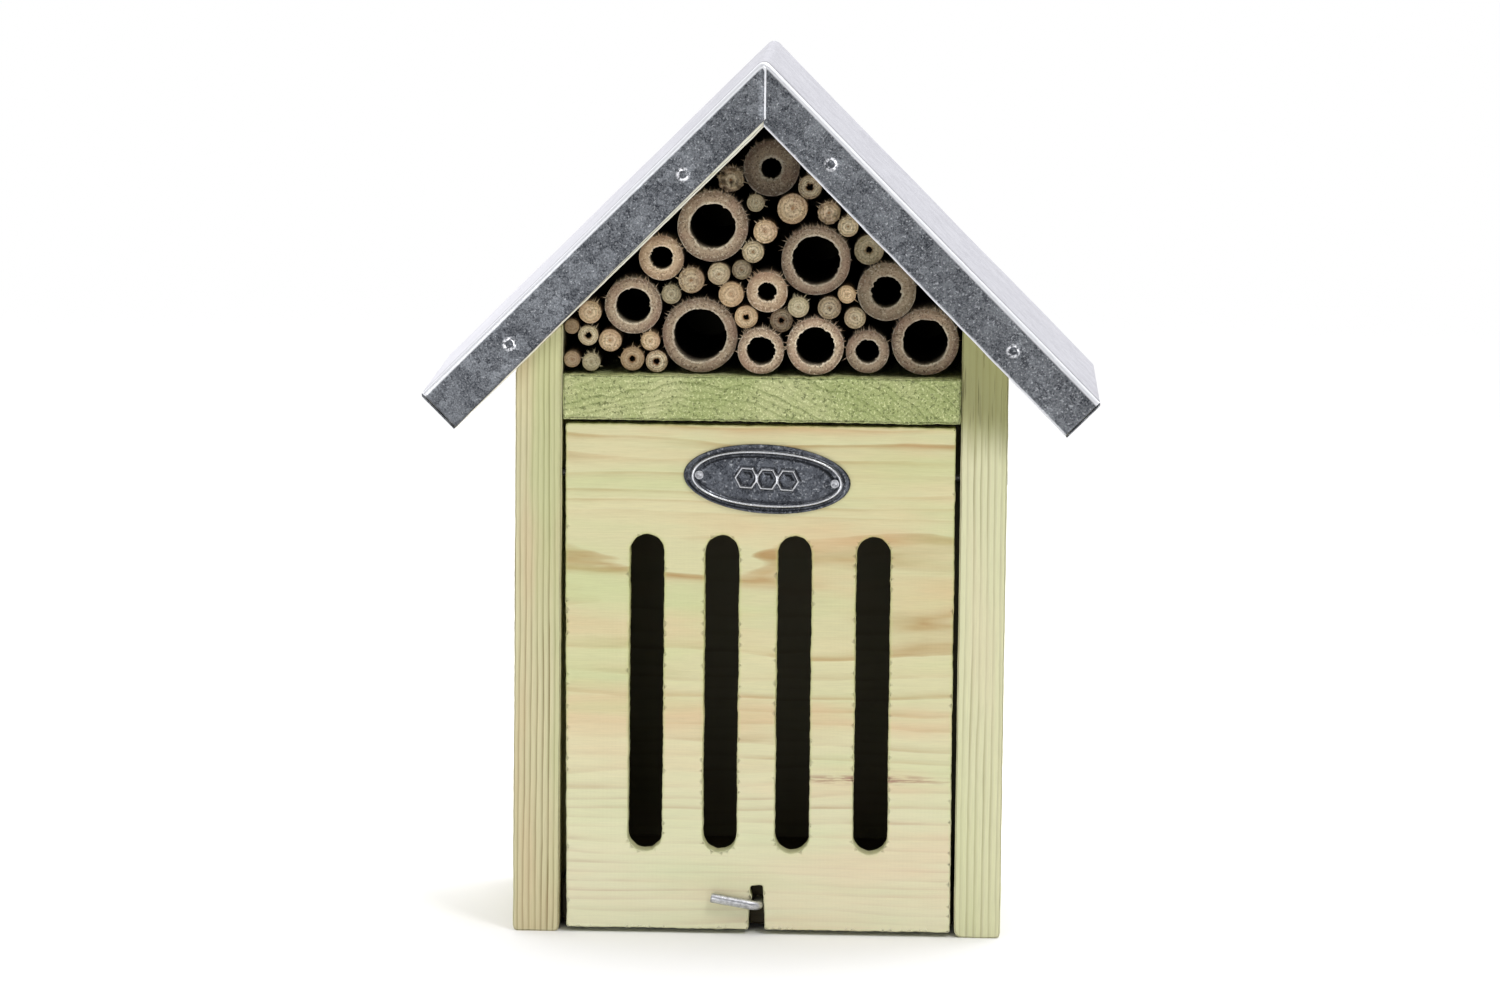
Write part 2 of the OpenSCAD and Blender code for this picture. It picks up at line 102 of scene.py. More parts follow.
class Tree:
    """The nodes of a world or a material. Each method adds a node, most return its output."""

    def __init__(self, owner):
        owner.use_nodes = True
        self.owner = owner
        self.tree = owner.node_tree
        self.tree.nodes.clear()

    def add(self, kind, inputs, **settings):
        node = self.tree.nodes.new("ShaderNode" + kind)
        for key, value in settings.items():
            setattr(node, key, value)
        for key, value in inputs.items():
            if isinstance(value, bpy.types.NodeSocket):
                self.tree.links.new(value, node.inputs[key])
            else:
                node.inputs[key].default_value = value
        return node

    def attribute(self, name):
        return self.add("Attribute", {}, attribute_name=name).outputs["Fac"]

    def axes(self, vector):
        split = self.add("SeparateXYZ", {0: vector})
        return split.outputs["X"], split.outputs["Y"], split.outputs["Z"]

    def scaled(self, vector, by):
        return self.add("VectorMath", {0: vector, 1: by}, operation="MULTIPLY").outputs[0]

    def sum(self, vector, other):
        return self.add("VectorMath", {0: vector, 1: other}, operation="ADD").outputs[0]

    def length(self, vector):
        return self.add("VectorMath", {0: vector}, operation="LENGTH").outputs["Value"]

    def math(self, operation, a, b=0.0, clamp=False):
        return self.add("Math", {0: a, 1: b}, operation=operation, use_clamp=clamp).outputs[0]

    def times(self, a, b, clamp=False):
        return self.math("MULTIPLY", a, b, clamp)

    def plus(self, a, b):
        return self.math("ADD", a, b)

    def minus(self, a, b):
        return self.math("SUBTRACT", a, b)

    def noise(self, vector, scale, detail=3.0, roughness=0.5, out="Fac"):
        inputs = {"Vector": vector, "Scale": scale, "Detail": detail, "Roughness": roughness}
        return self.add("TexNoise", inputs).outputs[out]

    def drift(self, vector, scale, amount, detail=2.0, roughness=0.5):
        """A noise vector about zero, for moving a pattern's places."""
        around = self.sum(self.noise(vector, scale, detail, roughness, "Color"), (-0.5,) * 3)
        return self.scaled(around, (amount,) * 3)

    def cells(self, vector, scale):
        return self.add("TexVoronoi", {"Vector": vector, "Scale": scale}).outputs["Color"]

    def random(self, value):
        return self.add("TexWhiteNoise", {"W": value}, noise_dimensions="1D").outputs["Value"]

    def span(self, value, low, high, to_low=0.0, to_high=1.0, smooth=False):
        inputs = {"Value": value, "From Min": low, "From Max": high,
                  "To Min": to_low, "To Max": to_high}
        kind = "SMOOTHSTEP" if smooth else "LINEAR"
        return self.add("MapRange", inputs, interpolation_type=kind).outputs[0]

    def ramp(self, value, stops):
        node = self.add("ValToRGB", {0: value})
        elements = node.color_ramp.elements
        while len(elements) < len(stops):
            elements.new(0.5)
        for element, (position, colour) in zip(elements, stops):
            element.position = position
            element.color = colour if isinstance(colour, tuple) else (colour, colour, colour, 1)
        return node.outputs[0]

    def mix(self, factor, a, b, blend="MIX"):
        inputs = {0: factor, 6: a, 7: b}
        return self.add("Mix", inputs, data_type="RGBA", blend_type=blend).outputs[2]

    def bump(self, height, depth_mm, strength):
        inputs = {"Height": height, "Distance": depth_mm * MM, "Strength": strength}
        return self.add("Bump", inputs).outputs[0]

    def finish(self, colour, roughness, normal, metallic=0.0, specular=0.5):
        inputs = {"Base Color": colour, "Roughness": roughness, "Normal": normal,
                  "Metallic": metallic, "Specular IOR Level": specular}
        shader = self.add("BsdfPrincipled", inputs)
        self.add("OutputMaterial", {"Surface": shader.outputs[0]})
        return self.owner


def new_material(name):
    """A material's nodes, and where a point of its piece is, in millimetres."""
    t = Tree(bpy.data.materials.new(name))
    return t, t.scaled(t.add("TexCoord", {}).outputs["Object"], (1 / MM,) * 3)


# ------------------------ camera, light and floor

def aim(thing, target, roll=0.0):
    """Turns a camera or a light towards a point."""
    back = (Vector(thing.location) - Vector(target)).normalized()
    thing.rotation_mode = "QUATERNION"
    turn = back.to_track_quat("Z", "Y")
    thing.rotation_quaternion = turn @ Matrix.Rotation(math.radians(roll), 4, "Z").to_quaternion()


def new_object(name, data):
    thing = bpy.data.objects.new(name, data)
    bpy.context.scene.collection.objects.link(thing)
    return thing


def add_camera():
    """The photograph's view: nearly straight on, a little from above and from the right."""
    camera = new_object("camera", bpy.data.cameras.new("camera"))
    camera.data.lens = 154.8
    camera.data.sensor_width = 36
    camera.location = (0.0688, -2.3225, 0.4625)
    aim(camera, (-0.0033, -0.0615, 0.1597), roll=0.6)
    bpy.context.scene.camera = camera


def add_softbox(name, place, target, size, power, colour=(1, 1, 1)):
    light = bpy.data.lights.new(name, "AREA")
    light.shape = "RECTANGLE"
    light.size, light.size_y = size
    light.energy = power
    light.color = colour
    softbox = new_object(name, light)
    softbox.location = place
    aim(softbox, target)


def add_studio():
    """A white room and three soft lights."""
    scene = bpy.context.scene
    scene.view_settings.view_transform = "Standard"
    scene.world = bpy.data.worlds.new("studio")
    t = Tree(scene.world)
    # The room is bright behind and above the house, and dimmer in front of it
    _, y, z = t.axes(t.add("TexCoord", {}).outputs["Generated"])
    glow = t.span(t.plus(t.times(z, 0.8), y), -0.8, 1.0, 0.14, 1.45, True)
    room = t.add("Background", {"Color": (0.97, 0.97, 1.0, 1), "Strength": glow})
    # Behind the house there is plain white to be seen
    seen = t.add("Background", {"Color": (1, 1, 1, 1)})
    to_camera = t.add("LightPath", {}).outputs["Is Camera Ray"]
    pick = t.add("MixShader", {0: to_camera, 1: room.outputs[0], 2: seen.outputs[0]})
    t.add("OutputWorld", {"Surface": pick.outputs[0]})
    add_softbox("key", (0.9, -1.35, 1.85), (0, 0, 0.16), (0.5, 0.5), 14, (1.0, 0.995, 0.98))
    add_softbox("fill", (-0.5, -1.4, 0.12), (0, 0, 0), (0.9, 0.5), 5, (0.98, 0.99, 1.0))
    add_softbox("top", (0.2, 0.6, 1.7), (0, 0, 0.2), (1.6, 1.6), 14)


def add_floor():
    """A pale floor that fades out, round and level, into the pale room."""
    rings, segments, radius = 12, 96, 4.0
    points = [(0, 0, 0)]
    for k in range(1, rings + 1):
        reach = radius * k / rings
        points += [(reach * ca, reach * sa, 0) for ca, sa in circle(segments)]
    mesh = bpy.data.meshes.new("floor")
    mesh.from_pydata(points, [], disc(rings, segments))
    t, place = new_material("floor")
    paint = t.add("BsdfDiffuse", {"Color": (0.9, 0.9, 0.9, 1)})
    clear = t.add("BsdfTransparent", {})
    # Whole up to 350 mm from the middle, and clear beyond 2200 mm
    fade = t.span(t.length(place), 350, 2200, 0, 1, True)
    blend = t.add("MixShader", {0: fade, 1: paint.outputs[0], 2: clear.outputs[0]})
    t.add("OutputMaterial", {"Surface": blend.outputs[0]})
    mesh.materials.append(t.owner)
    new_object("floor", mesh)


# ------------------------ wood

def stretched(along, amount):
    """Scales that draw a pattern out along one axis."""
    scales = [1.0, 1.0, 1.0]
    scales[along] = amount
    return scales


def late_wood(t, place, drawn, ripple, along, pith, spacing, ring_wave, contrast, broken_to):
    """How strongly the dark late wood of the growth rings shows, 0 to 1."""
    wave = t.drift(drawn, 0.045, 8 * ring_wave, roughness=0.45)
    moved = t.sum(t.sum(place, wave), ripple)
    offset = t.scaled(t.sum(moved, tuple(-c for c in pith)), stretched(along, 0.0))
    ring = t.math("DIVIDE", t.length(offset), spacing)
    part = t.math("FRACT", ring)
    band = t.ramp(part, [(0.0, 0.0), (0.5, 0.08), (0.74, 0.55), (0.87, 1.0), (0.96, 0.65), (1.0, 0.0)])
    weight = t.span(t.random(t.math("FLOOR", ring)), 0, 1, 0.4 * contrast, contrast)
    broken = t.span(t.noise(t.sum(drawn, (71.0, 3.0, 19.0)), 0.11, 3.0, 0.6), 0.36, 0.6, broken_to, 1.15)
    return t.times(t.times(band, weight), broken, clamp=True)


def resin_streak(t, place, ripple, mark):
    """Where a streak of resin is, made of fine lines along the grain."""
    x, z, half_l, half_h = mark
    streak = t.sum(t.sum(place, t.scaled(ripple, (2.5,) * 3)), (-x, 0, -z))
    reach = t.length(t.scaled(streak, (1 / half_l, 0, 1 / half_h)))
    lines = t.span(t.noise(t.scaled(place, (0.09, 1, 1)), 1.3, 3.0, 0.6), 0.42, 0.58, 0.0, 1.0)
    return t.times(t.span(reach, 1.0, 0.3), lines)


def wood(name, along, pith, spacing, early, late, tints, ring_wave=2.2, contrast=0.8,
         edge=(188, 194, 120), mark=None, chatter=False, dark_before=None, broken_to=0.35, fade=None):
    """Sawn pine. The growth rings lie round a pith that runs along one axis, in mm.

    along is that axis, 0 to 2, and pith is a point on it. tints are patches as pairs of
    colour and strength, and mark is a resin streak as (x, z, half length, half height).
    The face in front of y = dark_before is painted nearly black, as painted shade. The late wood's lines fade down
    to broken_to of their strength in places. fade is a colour that grows from one height to
    another, as (start, end, colour, strength, strength of dark streaks): on the right side board it
    is the eave's painted shadow, and on the panel it makes the wood paler towards the bottom.
    """
    t, place = new_material(name)
    x, y, z = t.axes(place)
    drawn = t.scaled(place, stretched(along, 0.16))
    ripple = t.drift(drawn, 0.3, 0.6)
    late_part = late_wood(t, place, drawn, ripple, along, pith, spacing, ring_wave, contrast, broken_to)
    colour = t.mix(late_part, early, late)
    for i, (tint, strength) in enumerate(tints):
        patch = t.noise(t.sum(drawn, (37.0 * i, 11.0 * i, 5.0)), 0.05, 3.0, 0.55)
        colour = t.mix(t.span(patch, 0.44, 0.68, 0, strength, True), colour, tint)
    thin = t.scaled(place, stretched(along, 0.035))
    fibres = t.noise(thin, 3.2, 4.0, 0.7)
    colour = t.mix(1.0, colour, t.ramp(fibres, [(0.25, 0.86), (0.75, 1.0)]), "MULTIPLY")
    dark_pores = t.span(t.noise(thin, 7.0, 2.0, 0.6), 0.66, 0.78, 0, 0.25)
    colour = t.mix(dark_pores, colour, srgb(150, 135, 90))
    rim = t.span(t.attribute("rim"), 0.3, 0.6)
    rough_edge = t.times(rim, t.span(t.noise(place, 0.9, 3.0), 0.3, 0.7, 0.2, 0.75))
    colour = t.mix(rough_edge, colour, srgb(*edge))
    if mark:
        colour = t.mix(resin_streak(t, place, ripple, mark), colour, srgb(146, 92, 62))
    if dark_before is not None:
        # Painted shade: the face in front of dark_before is painted nearly black
        overlay = t.times(t.math("LESS_THAN", y, dark_before), 0.9)
        colour = t.mix(overlay, colour, srgb(38, 34, 22))
    if fade is not None:
        # A colour and dark streaks that grow with height: the eave's painted shadow on the right side board, a
        # paler bottom on the panel
        start, end, overlay, strength, streak_strength = fade
        level = t.plus(z, t.times(t.noise(drawn, 0.2, 2.0), 12))
        colour = t.mix(t.span(level, start, end, 0, strength, True), colour, overlay)
        streaks = t.span(t.noise(thin, 1.1, 3.0, 0.65), 0.56, 0.68)
        streaks = t.times(streaks, t.span(level, start, end, 0, streak_strength))
        colour = t.mix(streaks, colour, srgb(84, 74, 40))
    height = t.plus(t.times(late_part, 0.6), t.times(fibres, 0.8))
    height = t.minus(height, t.times(dark_pores, 1.5))
    if chatter:
        knives = t.math("SINE", t.times(x, 2 * math.pi / 1.5))
        height = t.plus(height, t.times(knives, 0.09))
    roughness = t.span(fibres, 0.2, 0.8, 0.58, 0.74)
    return t.finish(colour, roughness, t.bump(height, 0.1, 0.5), specular=0.3)


def end_grain(name, pith, spacing):
    """Rough-sawn end grain, with its rings round a pith that runs along Y."""
    t, place = new_material(name)
    moved = t.sum(t.sum(place, t.drift(place, 0.06, 9.0)), t.drift(place, 0.9, 0.8))
    offset = t.scaled(t.sum(moved, (-pith[0], 0, -pith[1])), (1, 0, 1))
    ring = t.math("DIVIDE", t.length(offset), spacing)
    band = t.ramp(t.math("FRACT", ring), [(0.0, 0.0), (0.5, 0.15), (0.85, 1.0), (1.0, 0.0)])
    weight = t.span(t.random(t.math("FLOOR", ring)), 0, 1, 0.25, 0.85)
    patch = t.noise(place, 0.05, 3.0, 0.6)
    colour = t.mix(t.span(patch, 0.35, 0.7, 0, 1, True), srgb(168, 178, 118), srgb(196, 199, 146))
    ring_line = t.times(band, weight)
    colour = t.mix(ring_line, colour, srgb(122, 134, 78))
    grit = t.noise(place, 1.25, 3.0, 0.7)
    flecks = t.times(t.span(grit, 0.53, 0.64, 0, 0.85), t.span(ring_line, 0, 0.6, 1, 0.5))
    colour = t.mix(flecks, colour, srgb(228, 232, 176))
    pits = t.span(t.noise(t.sum(place, (31.0, 0, 7.0)), 1.0, 3.0, 0.7), 0.58, 0.66, 0, 0.75)
    colour = t.mix(pits, colour, srgb(98, 108, 58))
    height = t.minus(t.times(grit, 1.6), pits)
    return t.finish(colour, 0.82, t.bump(height, 0.5, 0.8), specular=0.2)


# ------------------------ cane

def cane_material(name, skin, outer, inner, core, rings=0.0, warmth=0.2):
    """The cut end and the skin of a cane. Its wall runs from 0 at the middle or bore to 1.

    rings is how strongly growth rings show on the cut end, and warmth how far the canes
    differ from each other in hue.
    """
    t, place = new_material(name)
    wall = t.attribute("wall")
    tone = t.attribute("tone")
    blur = t.minus(t.noise(place, 0.55, 3.0, 0.6), 0.5)
    depth = t.plus(wall, t.times(blur, 0.36))
    colour = t.ramp(depth, [(0.0, core), (0.07, core), (0.2, inner), (0.5, inner), (0.76, outer),
                            (0.93, outer), (0.98, skin)])
    if rings:
        turns = t.plus(t.times(wall, 21.0), t.times(blur, 9.0))
        stripe = t.span(t.math("SINE", turns), -1, 1, 1 - rings, 1 + 0.25 * rings)
        colour = t.mix(1.0, colour, stripe, "MULTIPLY")
    drawn = t.scaled(place, (1, 0.3, 1))
    fibres = t.noise(drawn, 1.5, 4.0, 0.75)
    colour = t.mix(1.0, colour, t.ramp(fibres, [(0.3, 0.6), (0.55, 0.92), (0.72, 1.0)]), "MULTIPLY")
    dots = t.span(t.noise(t.sum(drawn, (8.0, 3.0, 1.0)), 1.5, 2.0, 0.6), 0.56, 0.66, 0, 0.7)
    colour = t.mix(dots, colour, srgb(84, 62, 44))
    flecks = t.span(t.noise(t.sum(drawn, (1.0, 9.0, 4.0)), 1.2, 2.0, 0.6), 0.58, 0.68, 0, 0.65)
    colour = t.mix(flecks, colour, srgb(236, 222, 196))
    blush = t.span(t.noise(place, 0.12, 2.0), 0.45, 0.65, 0, 0.35, True)
    colour = t.mix(blush, colour, srgb(158, 122, 104))
    hue = t.random(t.times(tone, 57.3))
    colour = t.mix(t.span(hue, 0.6, 1.0, 0, warmth), colour, srgb(226, 184, 136))
    colour = t.mix(t.span(hue, 0.35, 0.0, 0, warmth), colour, srgb(168, 164, 130))
    # Each cane's tone darkens or lightens it; tube 1's dark tone is painted shadow under the roof
    colour = t.mix(1.0, colour, t.span(tone, -1, 1, 0.27, 1.18), "MULTIPLY")
    # Painted shade: nearly black down the bore, along the skin behind the cut and in torn pits
    colour = t.mix(t.attribute("depth"), colour, srgb(34, 24, 15))
    height = t.minus(t.times(fibres, 1.4), dots)
    return t.finish(colour, 0.75, t.bump(height, 0.35, 0.8), specular=0.2)


# ------------------------ metal

def galvanised(name, light, dark, speckle, roughness, bend_y=None, nails=(), worn=None, matt=1.0):
    """Zinc-coated steel: spangle, fine mottling and pale oxide specks.

    bend_y is where the sheet bends over the front edge. Behind it the top is painted pale, a painted
    reflection of the bright room that is dimmer towards the left, after a dark band of painted shade
    next to the bend; the fold in front is darker towards the left. nails are points with a bright
    ring painted round them. worn names an attribute that is 1 where white is painted,
    as painted highlights on the roof sheet's bends and edges and as worn raised metal on the plate,
    and below 0 in the plate's dark hollows; matt is how metallic those white places stay.
    """
    t, place = new_material(name)
    x, y, _ = t.axes(place)
    spangle = t.axes(t.cells(t.sum(place, t.drift(place, 0.5, 2.5)), 0.42))[0]
    grain = t.noise(place, 1.5, 5.0, 0.75)
    cloud = t.noise(place, 0.07, 3.0, 0.6)
    tone = t.plus(t.times(spangle, 0.2), t.times(grain, 1.45))
    tone = t.plus(tone, t.times(cloud, 0.4))
    colour = t.mix(t.span(tone, 0.78, 1.28), dark, light)
    specks = t.noise(t.sum(place, (13.0, 5.0, 2.0)), 1.1, 3.0, 0.65)
    right = t.span(x, -110, 110, 0.0, 0.03)
    specks = t.span(t.plus(specks, right), 0.6, 0.68, 0, speckle)
    colour = t.mix(specks, colour, srgb(225, 227, 230))
    gloss = t.span(tone, 0.72, 1.2, roughness + 0.1, roughness - 0.08)
    if bend_y is not None:
        behind = t.minus(y, bend_y)
        # The front fold is darker towards the left
        colour = t.mix(t.span(x, 30, -90, 0, 0.28), colour, dark)
        # Painted reflection: the top behind the bend is painted pale like the bright room it mirrors, dimmer
        # towards the left
        top_reflection = t.mix(t.span(x, -15, -100), srgb(172, 171, 178), srgb(214, 213, 219))
        colour = t.mix(t.span(behind, 1.2, 1.4, 0, 0.7), colour, top_reflection)
        # Painted shade: a dark band on the top just behind the bend
        band = t.times(t.span(behind, 1.3, 1.7), t.span(behind, 8.0, 4.5))
        colour = t.mix(t.times(band, 0.9), colour, srgb(74, 74, 80))
    for nail in nails:
        reach = t.length(t.sum(place, tuple(-c for c in nail)))
        ring = t.times(t.span(reach, 1.1, 1.4), t.span(reach, 2.7, 1.9))
        torn = t.span(t.noise(t.sum(place, (0, 0, nail[0])), 0.7, 3.0, 0.6), 0.43, 0.56)
        colour = t.mix(t.times(ring, torn), colour, srgb(252, 252, 255))
    metallic = 1.0
    if worn:
        # White and less metallic where a highlight is painted on the roof sheet or the plate's raised metal is
        # worn; dark in the plate's hollows
        high = t.attribute(worn)
        metallic = t.span(high, 0.35, 0.8, 1.0, matt)
        colour = t.mix(t.span(high, 0.35, 0.8, 0, 0.9), colour, srgb(236, 237, 240))
        colour = t.mix(t.span(high, 0.05, -0.5, 0, 0.8), colour, srgb(30, 32, 37))
    height = t.plus(t.times(grain, 0.6), t.times(specks, 0.8))
    return t.finish(colour, gloss, t.bump(height, 0.09, 0.6), metallic)


def bright_steel(name):
    """Zinc-plated wire and nails, with fine drawing lines and a little tarnish."""
    t, place = new_material(name)
    lines = t.noise(t.scaled(place, (0.15, 1, 1)), 6.0, 3.0, 0.6)
    tarnish = t.noise(place, 0.6, 3.0, 0.6)
    colour = t.mix(t.span(tarnish, 0.4, 0.7), srgb(205, 206, 210), srgb(150, 150, 154))
    colour = t.mix(t.span(lines, 0.55, 0.7, 0, 0.3), colour, srgb(110, 108, 108))
    return t.finish(colour, t.span(tarnish, 0.3, 0.7, 0.26, 0.42), t.bump(lines, 0.02, 0.4), 1.0)


# ------------------------ meshes

def make(name, points, faces, slot, material, body="house", **attributes):
    """One piece from points in millimetres, which takes the place of the CAD node of its name.

    Each attribute is a float on each point.
    """
    mesh = bpy.data.meshes.new(name)
    mesh.from_pydata([tuple(c * MM for c in p) for p in points], [], faces)
    mesh.validate()
    for key, values in attributes.items():
        mesh.attributes.new(key, "FLOAT", "POINT").data.foreach_set("value", values)
    mesh.polygons.foreach_set("use_smooth", [True] * len(mesh.polygons))
    mesh.materials.append(material)
    mesh.update()
    piece = new_object(name, mesh)
    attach(piece, body)
    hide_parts(name)
    return piece


def bands(rings, segments, start=0, turned=False):
    """Quads between closed rings of points that follow each other, wound either way."""
    faces = []
    for low in range(start, start + (rings - 1) * segments, segments):
        high = low + segments
        for i in range(segments):
            j = (i + 1) % segments
            if turned:
                faces.append((low + i, high + i, high + j, low + j))
            else:
                faces.append((low + i, low + j, high + j, high + i))
    return faces


def circle(count):
    """The cosine and sine of each of count angles round a circle."""
    angles = [2 * math.pi * i / count for i in range(count)]
    return [(math.cos(a), math.sin(a)) for a in angles]


def disc(rings, segments):
    """A disc's faces. Its points are its middle and then its rings, from the inside out."""
    fan = [(0, 1 + i, 1 + (i + 1) % segments) for i in range(segments)]
    return fan + bands(rings, segments, start=1, turned=True)


def merged(parts):
    """One list of points and faces from several, each with its own matrix."""
    points, faces = [], []
    for (part_points, part_faces), matrix in parts:
        start = len(points)
        points += [matrix @ p for p in part_points]
        faces += [tuple(v + start for v in face) for face in part_faces]
    return points, faces


def wobble(point, size, amount, seed=0.0):
    """Smooth noise at a point: about -amount to amount, with features of the given size."""
    at = Vector(point) / size + Vector((seed, -seed, 2 * seed))
    return amount * noise.noise(at)


def resample(loop, step):
    """A closed 2D loop again, with a point at least every step."""
    points = []
    for a, b in zip(loop, loop[1:] + loop[:1]):
        a, b = Vector(a), Vector(b)
        count = max(1, math.ceil((b - a).length / step))
        points += [a.lerp(b, i / count) for i in range(count)]
    return points


def soften(loop, times):
    for _ in range(times):
        loop = [(loop[i - 1] + 2 * loop[i] + loop[(i + 1) % len(loop)]) / 4 for i in range(len(loop))]
    return loop


def outward(loop):
    """The 2D normals of an anticlockwise loop."""
    normals = []
    for i in range(len(loop)):
        run = (loop[(i + 1) % len(loop)] - loop[i - 1]).normalized()
        normals.append(Vector((run.y, -run.x)))
    return normals


def inside(points, loop):
    """Which of the points lie within a loop, as a boolean array."""
    px, py = np.array(points).T[:, :, None]
    ax, ay = np.array(loop).T
    bx, by = np.roll(ax, -1), np.roll(ay, -1)
    crossing = (ay > py) != (by > py)
    reach = ax + (py - ay) * (bx - ax) / np.where(by == ay, 1e-9, by - ay)
    return (crossing & (px < reach)).sum(axis=1) % 2 == 1


def between(points, loops):
    """Which of the points lie within the first loop and in none of the others, its holes."""
    if not points:
        return []
    keep = inside(points, loops[0])
    for hole in loops[1:]:
        keep = keep & ~inside(points, hole)
    return keep


def finder(points):
    """A search tree over 2D points."""
    tree = kdtree.KDTree(len(points))
    for i, p in enumerate(points):
        tree.insert((p[0], p[1], 0), i)
    tree.balance()
    return tree


def fill(loops, grid, seed):
    """Triangles between closed loops, the first of them the outline, over a jittered grid.

    Returns the grid's own points, and the triangles. A triangle's numbers count the loops'
    points first, in order, and then the grid's.
    """
    rng = random.Random(seed)
    edge = [p for loop in loops for p in loop]
    tree = finder(edge)
    low = [min(p[i] for p in loops[0]) for i in (0, 1)]
    high = [max(p[i] for p in loops[0]) for i in (0, 1)]
    extra = []
    for j in range(int((high[1] - low[1]) / (grid * 0.87)) + 1):
        for i in range(int((high[0] - low[0]) / grid) + 1):
            x = low[0] + (i + 0.5 * (j % 2) + rng.uniform(-0.15, 0.15)) * grid
            z = low[1] + (j + rng.uniform(-0.15, 0.15)) * grid * 0.87
            if tree.find((x, z, 0))[2] > 0.6 * grid:
                extra.append(Vector((x, z)))
    extra = [p for p, kept in zip(extra, between(extra, loops)) if kept]
    bounds = []
    start = 0
    for loop in loops:
        bounds += [(start + i, start + (i + 1) % len(loop)) for i in range(len(loop))]
        start += len(loop)
    out = geometry.delaunay_2d_cdt([Vector(p) for p in edge + extra], bounds, [], 0, 1e-6, True)
    points, triangles, origin = out[0], out[2], [o[0] for o in out[3]]
    middles = [sum((points[v] for v in tri), Vector((0, 0))) / 3 for tri in triangles]
    kept_triangles = zip(triangles, between(middles, loops))
    return extra, [[origin[v] for v in tri] for tri, kept in kept_triangles if kept]


def worn_loop(loop, step, smoothing, ragged, seed):
    """A loop with its corners eased and its line as ragged as a saw leaves it."""
    loop = soften(resample(loop, step), smoothing)
    moved = []
    for p, n in zip(loop, outward(loop)):
        at = (p.x, p.y, seed)
        moved.append(p + n * (wobble(at, 1.7, ragged) + wobble(at, 9, ragged)))
    return moved


def rounding(radius):
    """Insets and depths from a face's rounded edge to the full outline."""
    angles = [math.radians(30 * i) for i in range(4)] if radius else [math.pi / 2]
    return [(radius * (1 - math.sin(a)), radius * (1 - math.cos(a))) for a in angles]


def slab(loops, y0, y1, edge=0.7, back_edge=None, grid=4.0, step=2.0, ragged=0.1, rough=0.06, seed=1.0,
         smoothing=2):
    """A board: an outline in X and Z and its holes, from y0 to y1, with worn round edges.

    Outlines run anticlockwise and holes clockwise. Returns points, faces and each point's rim,
    which is 1 on the sawn edges and fades to 0 over the front and back faces.
    """
    back_edge = edge if back_edge is None else back_edge
    fine = [worn_loop(loop, step, smoothing, ragged, seed) for loop in loops]
    normals = [outward(loop) for loop in fine]
    rings = [(inset, y0 + depth) for inset, depth in rounding(edge)]
    length = y1 - y0 - edge - back_edge
    walls = max(2, round(length / (2.5 * step)))
    rings += [(0, y0 + edge + length * i / walls) for i in range(1, walls)]
    rings += [(inset, y1 - depth) for inset, depth in reversed(rounding(back_edge))]
    points, rim, faces = [], [], []
    for inset, y in rings:
        for loop, normal in zip(fine, normals):
            for p, n in zip(loop, normal):
                q = p - n * inset
                points.append(Vector((q.x, y, q.y)))
                rim.append(1.0 if inset == 0 else 0.5)
    size = sum(len(loop) for loop in fine)
    for k in range(len(rings) - 1):
        start = 0
        for loop in fine:
            count = len(loop)
            for i in range(count):
                a, b = start + i, start + (i + 1) % count
                faces.append((k * size + a, k * size + b, (k + 1) * size + b, (k + 1) * size + a))
            start += count
    for y, inset, first in ((y0, edge, 0), (y1, back_edge, (len(rings) - 1) * size)):
        inner = [[p - n * inset for p, n in zip(loop, normal)] for loop, normal in zip(fine, normals)]
        extra, triangles = fill(inner, grid, seed)
        offset = len(points) - size
        for p in extra:
            points.append(Vector((p.x, y, p.y)))
            rim.append(0.0)
        for tri in triangles:
            face = [v + first if v < size else v + offset for v in tri]
            faces.append(face if y == y0 else face[::-1])
    for p in points:
        p.y += wobble(p, 7, rough, seed)
        p.x += wobble(p, 23, 1.5 * rough, seed + 3)
    return points, faces, rim


def board(name, loops, y0, y1, material, slot, body="house", **options):
    """A board's piece. The options are those of slab."""
    points, faces, rim = slab(loops, y0, y1, **options)
    piece = make(name, points, faces, slot, material, body, rim=rim)
    piece.modifiers.new("flat faces", "WEIGHTED_NORMAL")


def arc(centre, radius, start, end, count):
    """Points along an arc, angles in degrees."""
    angles = [math.radians(start + (end - start) * i / count) for i in range(count + 1)]
    return [(centre[0] + radius * math.cos(a), centre[1] + radius * math.sin(a)) for a in angles]


def slot_hole(x, z0, z1, half, count):
    """A round-ended hole, clockwise, from the middles of its ends and half its width."""
    return (arc((x, z1), half, 0, 180, count) + arc((x, z0), half, 180, 360, count))[::-1]


# ------------------------ the body's boards

SKIN = 0.12  # each board is this much inside its CAD solid, so that nail heads stand proud


